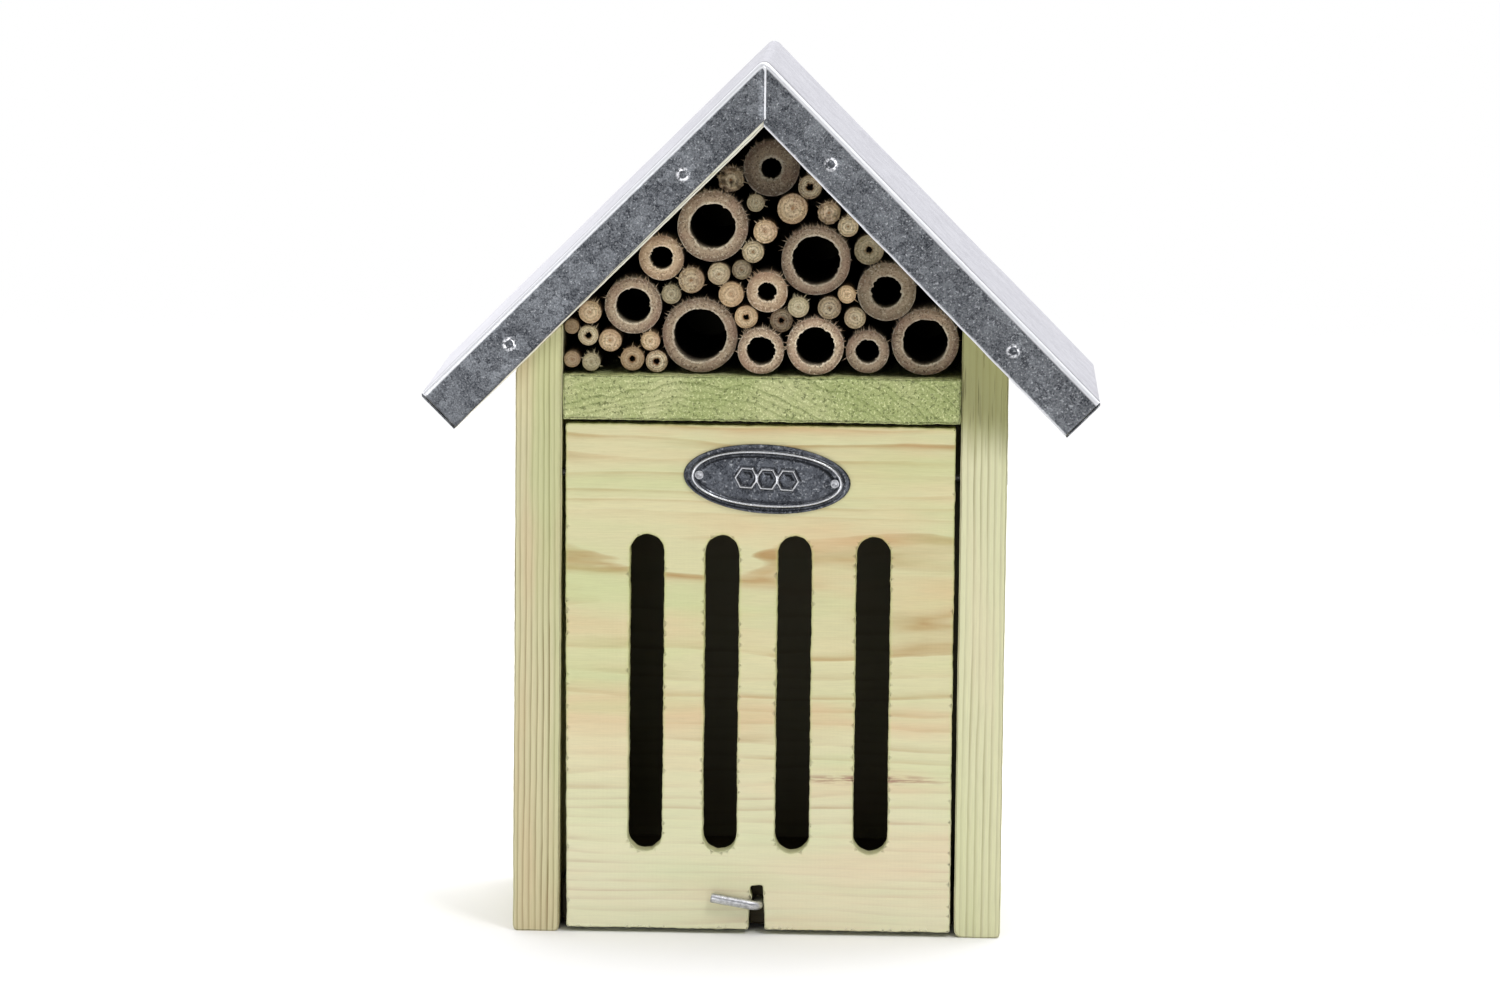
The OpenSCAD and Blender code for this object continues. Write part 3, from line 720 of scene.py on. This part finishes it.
def add_side_boards():
    early, late = srgb(214, 208, 167), srgb(128, 112, 66)
    tints = [(srgb(208, 180, 142), 0.42), (srgb(190, 198, 142), 0.5)]
    left = wood("left_side_pine", 2, (-165, front_y - 8, 0), 2.05, early, late, tints, 0.4, 1.25,
                edge=(207, 201, 160), broken_to=0.7)
    tints = [(srgb(222, 212, 176), 0.5), (srgb(200, 206, 152), 0.4)]
    # Painted shadow of the eave over the top of the right board: darker and more olive towards the top, with dark
    # streaks in it
    eave_shadow = (right_high.z - 46, right_high.z - 26, srgb(136, 136, 80), 0.78, 0.75)
    right = wood("right_side_pine", 2, (170, front_y + 9, 0), 2.5, srgb(220, 219, 178), late, tints,
                 0.4, 0.6, edge=(207, 201, 160), broken_to=0.6, fade=eave_shadow)
    x0, x1 = left_low.x + SKIN, left_high.x - SKIN
    outline = [(x0, 0), (x1, 0), (x1, left_line + x1 - SKIN), (x0, left_line + x0 - SKIN)]
    board("left_side_board", [outline], front_y, left_high.y, left, "pine", seed=2, grid=1.8, edge=0.45,
          smoothing=1)
    x0, x1 = right_low.x + SKIN, right_high.x - SKIN
    foot = 1.6
    outline = [(x0 + foot, 0), (x1, 0), (x1, right_line - x1 - SKIN), (x0, right_line - x0 - SKIN),
               (x0, foot)]
    board("right_side_board", [outline], front_y, right_high.y, right, "pine", seed=3, grid=1.8, edge=0.45,
          smoothing=1)


def rectangle(low, high):
    x0, x1, z0, z1 = low.x + SKIN, high.x - SKIN, low.z + SKIN, high.z - SKIN
    return [(x0, z0), (x1, z0), (x1, z1), (x0, z1)]


def add_shelf():
    material = end_grain("shelf_end_grain", (-30, shelf_low.z - 114), 2.5)
    board("shelf_board", [rectangle(shelf_low, shelf_high)], shelf_low.y, shelf_high.y, material,
          "pine_end_grain", seed=4, edge=0.5, grid=1.2, step=0.9, ragged=0.28, rough=0.16, smoothing=0)


def add_back_board():
    """The back board, with a blind pocket for the hanger's keyhole and its inner face painted nearly black, as
    painted shade.
    """
    tints = [(srgb(206, 178, 140), 0.5), (srgb(186, 190, 144), 0.4)]
    pine = wood("back_pine", 0, (0, 95, 130), 3.8, srgb(200, 193, 154), srgb(168, 148, 104), tints,
                1.5, 0.8, dark_before=back_low.y + 2)
    x0, x1 = back_low.x + SKIN, back_high.x - SKIN
    top = (right_line - left_line) / 2
    outline = [(x0, 0), (x1, 0), (x1, right_line - x1), (top, right_line - top), (x0, left_line + x0)]
    entry, pocket = openings["keyhole_entry"], openings["keyhole_pocket"]
    centre_z = (entry[0][2] + entry[1][2]) / 2 / MM
    half = pocket[1][0] / MM
    hole = slot_hole(0, centre_z, pocket[1][2] / MM, half, 14)
    bottom = pocket[0][1] / MM - 0.3
    front = slab([outline], back_low.y, bottom, back_edge=0, seed=5)
    rear = slab([outline, hole], bottom, back_high.y - SKIN, edge=0, back_edge=0.7, seed=5)
    points, faces = merged([(front[:2], Matrix()), (rear[:2], Matrix())])
    make("back_board", points, faces, "pine", pine, rim=front[2] + rear[2])


def add_floor_board():
    # Painted shade: the floor board inside the house is painted nearly black all over, as it lies in the dark
    # behind the slots
    pine = wood("floor_pine_painted_shade", 0, (0, 90, -40), 2.6, srgb(58, 50, 32), srgb(40, 34, 22), [], 1.5,
                edge=(50, 44, 30))
    board("floor_board", [rectangle(floor_low, floor_high)], floor_low.y, floor_high.y, pine,
          "pine", seed=6)


def on_slope(side, d, u, y):
    """A point on a roof slope: d down it from the ridge's sharp corner, u below its face."""
    return Vector((side * (d - u) * SLOPE, y, ridge_z - (d + u) * SLOPE))


def add_roof_boards():
    early, late = srgb(246, 243, 224), srgb(224, 214, 176)
    tints = [(srgb(240, 226, 196), 0.4)]
    pine = wood("roof_pine", 1, (30, 0, 120), 2.6, early, late, tints, 1.0, edge=(246, 244, 230))
    end = eave_d - SHEET_T
    for side, name, under, start in ((-1, "left_roof_board", left_under, SHEET_T + RIDGE_R),
                                     (1, "right_roof_board", right_under, left_under)):
        foot = SHEET_T if side < 0 else start
        corners = [(end, under), (end, SHEET_T + 1), (end - 1, SHEET_T), (start, SHEET_T), (foot, under)]
        loop = [on_slope(side, d, u, 0) for d, u in corners]
        loop = [(p.x, p.z) for p in loop]
        if side < 0:
            loop = loop[::-1]
        low, high = box_mm(name)
        board(name, [loop], low.y + 0.1, high.y - 0.1, pine, "pine", seed=7 + side, smoothing=0)


# ------------------------ the front panel

def add_panel():
    left_in, right_in = 1.5, 0.4  # how far the lower left and upper right corners stand in
    x0, x1, z0, z1 = panel_low.x, panel_high.x, panel_low.z, panel_high.z
    notch = openings["hook_notch"]
    half = notch[1][0] / MM + 0.2
    top = notch[1][2] / MM + 0.3
    outline = [(x0 + left_in, z0), (-half - 0.5, z0), (-half - 0.2, 11.0), (-half + 0.9, 13.4),
               (-half + 0.3, 14.6), (-half, 15.4), (-half + 0.4, top), (half - 0.3, top + 0.2),
               (half, 12.0), (half + 0.5, z0), (x1, z0), (x1 - right_in, z1), (x0, z1)]
    loops = [outline]
    for number in range(1, 5):
        # The opening's box runs between the middles of the slot's ends, 0.3 mm inside its sides
        (ax, _, az), (bx, _, bz) = openings[f"entry_slot_{number}"]
        middle, half = (ax + bx) / 2 / MM, (bx - ax) / 2 / MM + 0.45
        loops.append(slot_hole(middle, az / MM, bz / MM, half, 18))
    tints = [(srgb(219, 186, 142), 0.75), (srgb(200, 210, 152), 0.55), (srgb(226, 216, 172), 0.5)]
    pine = wood("panel_pine", 0, (0, 18, 122), 3.3, srgb(216, 211, 166), srgb(180, 148, 96), tints,
                1.5, 1.15, mark=(40, 57, 36, 2.2), chatter=True,
                fade=(120, 5, srgb(246, 246, 226), 0.32, 0))
    board("front_panel", loops, panel_low.y, panel_high.y, pine, "panel_pine", "panel",
          seed=9, grid=2.2, step=0.7, ragged=0.2, rough=0.08, edge=0.25, smoothing=1)


# ------------------------ the roof's sheet

SHEET_NAILS = [(-1, 49), (-1, 135), (1, 43), (1, 135)]  # side, distance down the slope
SHEET_NAIL_U = 9.2
SHEET_RUN = eave_d - SHEET_T - 0.3


def ridge_drop(x, u):
    """How far the rounded ridge lies below its sharp corner."""
    if abs(x) >= RIDGE_R * SLOPE:
        return 0.0
    rounded = ridge_z - RIDGE_R * math.sqrt(2) + math.sqrt(RIDGE_R ** 2 - x * x)
    return (ridge_z - abs(x) - rounded) * max(0.0, 1 - u / 4)


def dimple(side, d, u):
    """How far a point of the front fold is pushed in round the nails, and at one small dent."""
    push = 0.0
    for nail_side, nail_d in SHEET_NAILS:
        if nail_side == side:
            r = math.hypot(d - nail_d, u - SHEET_NAIL_U)
            push += 0.25 * math.exp(-(r / 2.2) ** 2)
    if side < 0:
        # One small dent beside the upper left nail
        r = math.hypot(d - 41, u - 11.5)
        push += 0.2 * math.exp(-(r / 0.9) ** 2)
    return push


def sheet_profile():
    """Across the roof, from the front fold's edge over the top to the back's, as (y, u, kind)."""
    down = [FOLD - (FOLD - EDGE_R) * i / 15 for i in range(16)]
    profile = [(roof_front, u, "front") for u in down]
    for y, u in arc((roof_front + EDGE_R, EDGE_R), EDGE_R, 180, 270, 5)[1:]:
        profile.append((y, u, "front" if u > 0.7 else "top"))
    back = [(roof_back + roof_front - y, u, "top" if kind == "top" else "back")
            for y, u, kind in reversed(profile)]
    profile.append((roof_front + EDGE_R + 0.4, 0.0, "top"))
    flat = 30
    span = roof_back - roof_front - 2 * EDGE_R
    profile += [(roof_front + EDGE_R + span * i / flat, 0.0, "top") for i in range(1, flat)]
    return profile + back


def shape_front_fold(p, side, along, d, deep, u, fold):
    """Dents and waves the front fold at a point, and returns how strongly a highlight is painted on its edge
    there.
    """
    p.y += dimple(side, d, deep)
    if side < 0:
        # The left fold laps over the right one along the mitre
        p.y -= 0.4 * math.exp(-(along / 2) ** 2) * min(1, fold * 6)
        # A painted highlight along the left fold's lit cut edge at the mitre
        bright = math.exp(-(along / 1.1) ** 4)
    else:
        # A painted highlight along the right fold's lower edge
        bright = math.exp(-(FOLD - u) / 0.5)
    p.y += wobble(p, 26, 0.3) * fold
    return bright


def sheet_point(side, along, y, u, kind):
    """A point of the sheet, this far down one slope, and how strongly a highlight is painted on it there."""
    part = along / SHEET_RUN
    fold = max(0.0, u - EDGE_R) / (FOLD - EDGE_R)
    # The front fold is this much narrower at the ridge
    taper = 0.0 if kind != "front" else 1.5 if side < 0 else 0.2
    # How far short of the mitre the fold is cut. The left one runs past it.
    cut = (-0.9 if side < 0 else 0.1) * min(1, fold * 8)
    deep = u - taper * (1 - part) * fold + wobble((side * along, 0, 9), 11, 0.16) * fold
    d = deep + cut / SLOPE + (SHEET_RUN - deep - cut / SLOPE) * part
    p = on_slope(side, d, deep, y)
    p.z -= ridge_drop(p.x, deep)
    in_bend = kind != "back" and u < 1.1 * EDGE_R and y < roof_front + 0.9 * EDGE_R
    # A full painted highlight on the bend over the front edge; 0.2 paints nothing
    painted_highlight = 1.0 if in_bend else 0.2
    if kind == "front":
        painted_highlight = max(painted_highlight, shape_front_fold(p, side, along, d, deep, u, fold))
    elif kind == "top":
        normal = Vector((side * SLOPE, 0, SLOPE))
        p += normal * wobble(p, 38, 0.22) * min(1, along / 20, (SHEET_RUN - along) / 15)
    return p, painted_highlight


def eave_points(side, y):
    """The sheet's bend over one eave and the fold below it, at a place along the roof."""
    points = [on_slope(side, d, u, y) for d, u in arc((eave_d - EDGE_R, EDGE_R), EDGE_R, -75, 0, 5)]
    for i in range(1, 9):
        out = eave_d + wobble((y, i, side), 20, 0.2)
        points.append(on_slope(side, out, EDGE_R + (FOLD - EDGE_R) * i / 8, y))
    return points


def add_roof_sheet():
    # Distances down from the ridge, close together near it
    columns = [0, 0.35, 0.7, 1.05, 1.4, 1.75, 2.1, 2.8, 3.6, 4.6, 5.8]
    columns += [7 + (SHEET_RUN - 7) * i / 140 for i in range(141)]
    points, faces, worn = [], [], []
    ridge = {}
    for side in (-1, 1):
        grid = []
        for j, (y, u, kind) in enumerate(sheet_profile()):
            row = [sheet_point(side, along, y, u, kind) for along in columns]
            if kind == "top":
                row += [(p, 0.2) for p in eave_points(side, y)]
            numbers = list(range(len(points), len(points) + len(row)))
            if kind == "top" and side > 0:
                # The right slope shares the left one's points on the ridge
                row = row[1:]
                numbers = [ridge[j]] + numbers[:-1]
            ridge.setdefault(j, numbers[0])
            points += [p for p, _ in row]
            worn += [painted_highlight for _, painted_highlight in row]
            grid.append(numbers)
        for a, b in zip(grid, grid[1:]):
            for k in range(min(len(a), len(b)) - 1):
                face = (a[k], a[k + 1], b[k + 1], b[k])
                faces.append(face if side > 0 else face[::-1])
    nails = [on_slope(side, d, SHEET_NAIL_U, roof_front) for side, d in SHEET_NAILS]
    material = galvanised("galvanised_sheet", srgb(132, 135, 139), srgb(50, 52, 57), 0.42, 0.38,
                          bend_y=roof_front, nails=nails, worn="worn", matt=0.4)
    sheet = make("roof_sheet", points, faces, "galvanised_sheet", material, worn=worn)
    thick = sheet.modifiers.new("thickness", "SOLIDIFY")
    thick.thickness = SHEET_T * MM
    thick.offset = -1
    thick.use_even_offset = True


# ------------------------ nails, hook and plate

def lathe(profile, segments=24):
    """A solid of revolution about Z from (radius, z) points, closed at both ends."""
    points = [Vector((radius * ca, radius * sa, z)) for radius, z in profile
              for ca, sa in circle(segments)]
    faces = bands(len(profile), segments)
    faces.append(tuple(reversed(range(segments))))
    faces.append(tuple(range((len(profile) - 1) * segments, len(profile) * segments)))
    return points, faces


# The face of a hammered nail head, from its edge to its middle, as parts of its radius and height
DISHED_HEAD = [(0.97, 0.7), (0.9, 0.95), (0.8, 1.0), (0.7, 0.85), (0.62, 0.5), (0.54, 0.3), (0.05, 0.25)]


def nail_shape(shank_d, length, head_d, head_t):
    """A wire nail along -Z, its dished head on z = 0."""
    shank, head = shank_d / 2, head_d / 2
    profile = [(0.05, -length), (shank, -length + 2 * shank_d), (shank, 0),
               (head * 0.96, 0.02), (head, head_t * 0.35)]
    profile += [(part * head, rise * head_t) for part, rise in DISHED_HEAD]
    points, faces = lathe(profile)
    for p in points:
        if p.z > 0.1:
            p.z += wobble((p.x, p.y, length), 0.9, 0.35 * head_t)
            p.x += wobble((p.x, length, p.y), 1.1, 0.12)
            p.y += wobble((length, p.x, p.y), 1.1, 0.12)
    return points, faces


def facing(place, direction):
    """A matrix that takes +Z to a direction and the origin to a place."""
    turn = Vector(direction).to_track_quat("Z", "Y").to_matrix().to_4x4()
    return Matrix.Translation(Vector(place)) @ turn


def add_sheet_nails():
    parts = []
    for i, (side, d) in enumerate(SHEET_NAILS):
        shape = nail_shape(shank_d=1.8, length=20 + 0.1 * i, head_d=2.9, head_t=0.5)
        for y, direction in ((roof_front, (0.05, -1, 0.03 * i)), (roof_back, (0, 1, 0))):
            place = on_slope(side, d, SHEET_NAIL_U, y)
            place.y += 0.35 if y < 0 else -0.1
            parts.append((shape, facing(place, direction)))
    points, faces = merged(parts)
    dull = galvanised("dull_zinc", srgb(120, 123, 128), srgb(70, 73, 78), 0.4, 0.4)
    make("sheet_nails", points, faces, "bright_steel", dull)


WIRE_D, BEND_R = 3.6, 3.0
ARM_TILT = math.radians(9.5)
THREAD_Y = -30  # where the hook's thread starts
THREAD_PITCH = 1.4


def add_hook(steel):
    """The turn hook's wire, with a snipped end and a thread on the shank in the floor."""
    joint = next(j for j in frame["joints"] if j["name"] == "hook_turn")
    low, high = box_mm("turn_hook")
    hx, _, hz = Vector(joint["pos_m"]) / MM
    arm = Vector((-math.cos(ARM_TILT), 0, math.sin(ARM_TILT)))
    start = Vector((hx, low.y + WIRE_D / 2, hz))
    arm_l = (hx - low.x) / math.cos(ARM_TILT) - 0.3
    path = [start + arm * (arm_l - t) for t in (0, 0.25, 0.8, 2, 5, 8, 11)]
    centre = start + arm * BEND_R + Vector((0, BEND_R, 0))
    for out, along in arc((0, 0), BEND_R, 0, 90, 8):
        path.append(centre - Vector((0, out, 0)) - arm * along)
    y = path[-1].y + 1
    while y < high.y - 2:
        path.append(Vector((hx, y, hz)))
        y += THREAD_PITCH / 4 if y > THREAD_Y else 2
    path.append(Vector((hx, high.y - 0.5, hz)))
    segments = 20
    points = []
    side = arm.cross(Vector((0, 1, 0))).normalized()
    for k, p in enumerate(path):
        ahead = (path[min(k + 1, len(path) - 1)] - path[max(k - 1, 0)]).normalized()
        up = ahead.cross(side).normalized()
        radius = WIRE_D / 2 * (0.7 if k == 0 else 0.93 if k == 1 else 1)
        if p.y > THREAD_Y:
            radius -= 0.3 * (0.5 + 0.5 * math.sin(2 * math.pi * p.y / THREAD_PITCH))
        for ca, sa in circle(segments):
            at = p + (side * ca + up * sa) * radius
            points.append(at + Vector((0, wobble(at, 3.5, 0.03), wobble(at, 3.5, 0.03, 4))))
    faces = bands(len(path), segments, turned=True)
    faces.append(tuple(range(segments)))
    faces.append(tuple(reversed(range((len(path) - 1) * segments, len(path) * segments))))
    make("turn_hook", points, faces, "bright_steel", steel, "hook")


PLATE_L, PLATE_H, PLATE_T = 59.0, 24.6, 0.8
PLATE_TURN = 3.0  # degrees, right end down
PLATE_NAIL_X = 24.2
# The plate's edge, from its face round to its back, as parts of its width and thickness
PLATE_EDGE = [(1.006, 0.72), (1.01, 0.5), (1.006, 0.1), (0.99, 0.02)]


def plate_height(x, z):
    """The pressed relief of the oval plate: a rolled edge, a bead and three hexagon cells."""
    half_l, half_h = PLATE_L / 2, PLATE_H / 2
    rho = math.hypot(x / half_l, z / half_h)
    inset = (1 - rho) * (half_h + (half_l - half_h) * (x / half_l) ** 2)
    height = 0.7 * math.exp(-((inset - 2.7) / 0.6) ** 2) - 0.25 * math.exp(-((inset - 4.1) / 0.5) ** 2)
    height -= 0.2 * math.exp(-((inset - 1.4) / 0.5) ** 2)
    cell, pitch = 3.9, 7.3
    for i in (-1, 0, 1):
        px, pz = abs(x - i * pitch), abs(z)
        reach = max(px * math.cos(math.pi / 6) + pz * 0.5, pz) - cell * math.cos(math.pi / 6)
        height += 0.65 * math.exp(-(reach / 0.5) ** 2) - 0.2 * math.exp(-((reach + 1.1) / 0.6) ** 2)
    return max(-0.35, min(height, 0.7))


def add_name_plate(steel):
    low, high = box_mm("name_plate")
    centre = (low + high) / 2
    middle = Vector((centre.x, high.y, centre.z))
    rings, segments = 110, 260
    points, relief = [], []
    for k in range(rings + 1):
        for ca, sa in circle(segments) if k else [(1, 0)]:
            x, z = PLATE_L / 2 * k / rings * ca, PLATE_H / 2 * k / rings * sa
            height = plate_height(x, z)
            points.append((x, PLATE_T + height, z))
            relief.append(height)
    for rho, out in PLATE_EDGE:
        for ca, sa in circle(segments):
            points.append((PLATE_L / 2 * rho * ca, PLATE_T * out, PLATE_H / 2 * rho * sa))
            relief.append(0.3)
    total = rings + len(PLATE_EDGE)
    faces = disc(total, segments)
    faces.append(tuple(reversed(range(1 + (total - 1) * segments, 1 + total * segments))))
    turn = Matrix.Rotation(math.radians(PLATE_TURN), 4, "Y")
    placed = [turn @ Vector((x, -out, z)) + middle for x, out, z in points]
    dark = galvanised("plate_metal", srgb(96, 99, 105), srgb(36, 38, 43), 0.25, 0.26,
                      worn="relief")
    make("name_plate", placed, faces, "plate_metal", dark, "panel", relief=relief)
    parts = []
    for x in (-PLATE_NAIL_X, PLATE_NAIL_X):
        place = turn @ Vector((x, -PLATE_T - 0.05, 0)) + middle
        shape = nail_shape(shank_d=1.4, length=9.5, head_d=3.2, head_t=0.8)
        parts.append((shape, facing(place, (0.04, -1, 0.03))))
    points, faces = merged(parts)
    make("plate_nails", points, faces, "bright_steel", steel, "panel")


# ------------------------ canes

def cane_rings(length, hollow):
    """A cane's rings, from its back end forwards, in over the cut and back down the bore.

    Each is (part, y, wall, shade). part is how far out it lies, from 0 at the middle or the
    bore to 1 at the skin, or -1 within the bore. y is how far it lies behind the cut. shade is
    how much painted shade darkens it, growing down the bore and along the skin behind the cut.
    """
    parts = [1.0, 0.97, 0.92, 0.82, 0.7, 0.55, 0.4, 0.28, 0.18, 0.1, 0.05]
    if hollow:
        parts = [1.0, 0.985, 0.95, 0.88, 0.8, 0.65, 0.5, 0.35, 0.2, 0.1, 0.03, 0.0]
    along = (length, length * 0.6, length * 0.3, 12, 5, 2, 0.8)
    rings = [(1.0, y, 1.0, min(1.0, 0.3 + y / 30)) for y in along]
    for part in parts:
        ease = 0.35 * (part - 0.95) / 0.05 if part > 0.95 else 0.0
        lip = 0.25 * (0.1 - part) / 0.1 if hollow and part < 0.1 else 0.0
        rings.append((part, ease + lip, part, 0.0))
    if hollow:
        down = (0.9, 2, 4, 8, 14, 24, 40, length)
        rings += [(-1.0, y, 0.0, min(1.0, 0.15 + y / 12)) for y in down]
    return rings


def bore_radius(bore, ca, sa, y, seed):
    """The ragged hole's radius in one direction, with burrs near the cut."""
    if not bore:
        return 0.0
    hole = bore / 2 * (1 + wobble((1.6 * ca, 1.6 * sa, seed + y * 0.05), 1, 0.03))
    hole += wobble((9 * ca, 9 * sa, seed + 7 + y * 0.4), 1, 0.14)
    burr = wobble((8.5 * ca, 8.5 * sa, seed + 17 + y * 0.3), 1, 1) - 0.15
    return hole - 1.4 * max(0.0, burr) * max(0.0, 1 - y / 4)


def add_hair(points, faces, base, tip, thick):
    """One torn fibre: a thin three-sided spike, closed at its root."""
    run = (tip - base).normalized()
    side = run.orthogonal().normalized()
    other = run.cross(side)
    start = len(points)
    points += [base + (side * ca + other * sa) * thick for ca, sa in circle(3)] + [tip]
    for corners in ((0, 1, 3), (1, 2, 3), (2, 0, 3), (2, 1, 0)):
        faces.append(tuple(start + i for i in corners))


def add_hairs(points, faces, rng, count, middle, radius):
    """Torn fibres round a cut end, most of them at its top."""
    for _ in range(count):
        a = rng.gauss(math.pi / 2, 0.75)
        ca, sa = math.cos(a), math.sin(a)
        base = middle + Vector((radius * 0.95 * ca, 0.9, radius * 0.95 * sa))
        lean = Vector((ca + rng.uniform(-0.8, 0.8), rng.uniform(-0.9, 0.2), sa + rng.uniform(-0.6, 0.8)))
        tip = base + lean.normalized() * rng.uniform(0.9, 3.0)
        add_hair(points, faces, base, tip, rng.uniform(0.2, 0.38))


def add_cane(node, kind, bore, tone, rng, material, hairs=0, torn=0.0):
    """A bamboo tube or a reed stem, sawn off at the front and running back to the back board.

    bore is its hole's diameter, or 0. torn is how far, in millimetres, its end is shredded.
    """
    low, high = box_mm(node)
    cx, cz = (low.x + high.x) / 2, (low.z + high.z) / 2
    radius = (high.x - low.x) / 2
    segments = 72 if kind == "bamboo" else 40
    seed = rng.uniform(0, 50)
    tilt_x, tilt_z = rng.uniform(-0.03, 0.03), rng.uniform(-0.03, 0.03)
    oval, oval_at = rng.uniform(0.0, 0.02), rng.uniform(0, math.pi)
    rings = cane_rings(high.y - low.y, bore > 0)
    points, walls, painted_shades = [], [], []
    for part, y, wall, shade in rings:
        for ca, sa in circle(segments):
            outer = radius * (1 - 0.012 + oval * math.cos(2 * (math.atan2(sa, ca) - oval_at)) * 0.5)
            outer += wobble((2 * ca, 2 * sa, seed + y * 0.02), 1.1, 0.016 * radius)
            hole = bore_radius(bore, ca, sa, y, seed)
            r = hole + (outer - hole) * max(part, 0.0)
            px, pz = r * ca, r * sa
            face_y = low.y + 0.6 + y + tilt_x * px + tilt_z * pz
            depth = shade
            if y < 1:
                face_y += wobble((px, seed, pz), 1.3, 0.14) + wobble((px, seed, pz), 4.5, 0.25)
                pit = max(0.0, noise.noise(Vector((px, seed, pz)) * 0.55) + 0.1) * torn
                face_y += 2.5 * pit
                # The torn end's pits get painted shade as well
                depth = max(shade, min(0.85, 0.6 * pit))
                shift = wobble((3 * ca, seed, 3 * sa), 1.0, 0.35 * torn) * wall
                px, pz = px + shift * ca, pz + shift * sa
                if not bore:
                    face_y += 0.06 * radius * max(0.0, 0.3 - wall)
            points.append((cx + px, min(max(face_y, low.y - 0.5), high.y), cz + pz))
            walls.append(wall)
            painted_shades.append(depth)
    faces = bands(len(rings), segments)
    last = (len(rings) - 1) * segments
    if bore:
        faces += [(last + i, last + (i + 1) % segments, (i + 1) % segments, i) for i in range(segments)]
    else:
        faces.append(tuple(range(last, last + segments)))
        faces.append(tuple(reversed(range(segments))))
    add_hairs(points, faces, rng, hairs, Vector((cx, low.y, cz)), radius)
    of_hairs = len(points) - len(walls)
    make(node, points, faces, kind, material, wall=walls + [0.5] * of_hairs,
         depth=painted_shades + [0.0] * of_hairs, tone=[tone] * len(points))


# By the cane's number: a reed's pith hole and its shredding, in mm, and a tube's tone from dark to light. Tube 1's
# dark tone is painted shadow under the roof's overhang.
PITH_HOLES = {2: 2.6, 9: 2.4, 19: 2.2, 20: 2.0, 23: 2.4, 28: 2.2, 29: 2.2}
TORN_ENDS = {1: 1.6, 5: 0.7}
TUBE_TONES_AND_SHADOW = {1: -1.35, 2: 0.1, 3: 0.0, 4: 0.7, 5: 0.5, 6: -0.3, 7: 0.3, 8: 0.1, 9: 0.6, 10: 0.8,
              11: 0.1, 12: 0.0}


def add_canes():
    rng = random.Random(255)
    bamboo = cane_material("bamboo", srgb(214, 200, 178), srgb(152, 130, 108),
                           srgb(198, 176, 148), srgb(250, 236, 208))
    reed = cane_material("reed", srgb(160, 138, 110), srgb(204, 182, 144),
                         srgb(236, 218, 182), srgb(150, 112, 74), 0.4, 0.6)
    for number, tone in TUBE_TONES_AND_SHADOW.items():
        node = f"bamboo_tube_{number:02d}"
        # The opening's box is the square within the round bore, 0.1 mm smaller all round
        low, high = openings[f"tube_{number:02d}_bore"]
        bore = ((high[0] - low[0]) / 2 / MM + 0.1) * 2 * math.sqrt(2)
        hairs = 60 if bore > 14 else 26
        add_cane(node, "bamboo", bore, tone, rng, bamboo, hairs)
    number = 1
    while f"reed_stem_{number:02d}" in frame["nodes"]:
        torn = TORN_ENDS.get(number, 0)
        hairs = 30 if torn > 1 else rng.choice((0, 4, 9))
        add_cane(f"reed_stem_{number:02d}", "reed", PITH_HOLES.get(number, 0), rng.uniform(-0.45, 0.9),
                 rng, reed, hairs, torn)
        number += 1


# ------------------------ carried-over parts

def dress(node, material):
    """Gives a CAD part that stays as it is its finish."""
    piece = frame["nodes"][node]
    piece.data.materials.clear()
    piece.data.materials.append(material)


add_camera()
add_studio()
add_floor()
steel = bright_steel("bright_steel")
add_side_boards()
add_shelf()
add_back_board()
add_floor_board()
add_roof_boards()
add_panel()
add_roof_sheet()
add_sheet_nails()
add_hook(steel)
add_name_plate(steel)
add_canes()
for name in ("board_nails", "hanger_screws"):
    dress(name, steel)
# Painted shade: the hinge nails, seen only in the panel's dark side gaps, are painted dark
dress("hinge_nails", galvanised("hinge_wire_painted_shade", srgb(84, 82, 80), srgb(44, 42, 41), 0.1, 0.5))
dress("hanger_plate", galvanised("hanger_zinc", srgb(168, 171, 178), srgb(128, 131, 140), 0.3, 0.35))
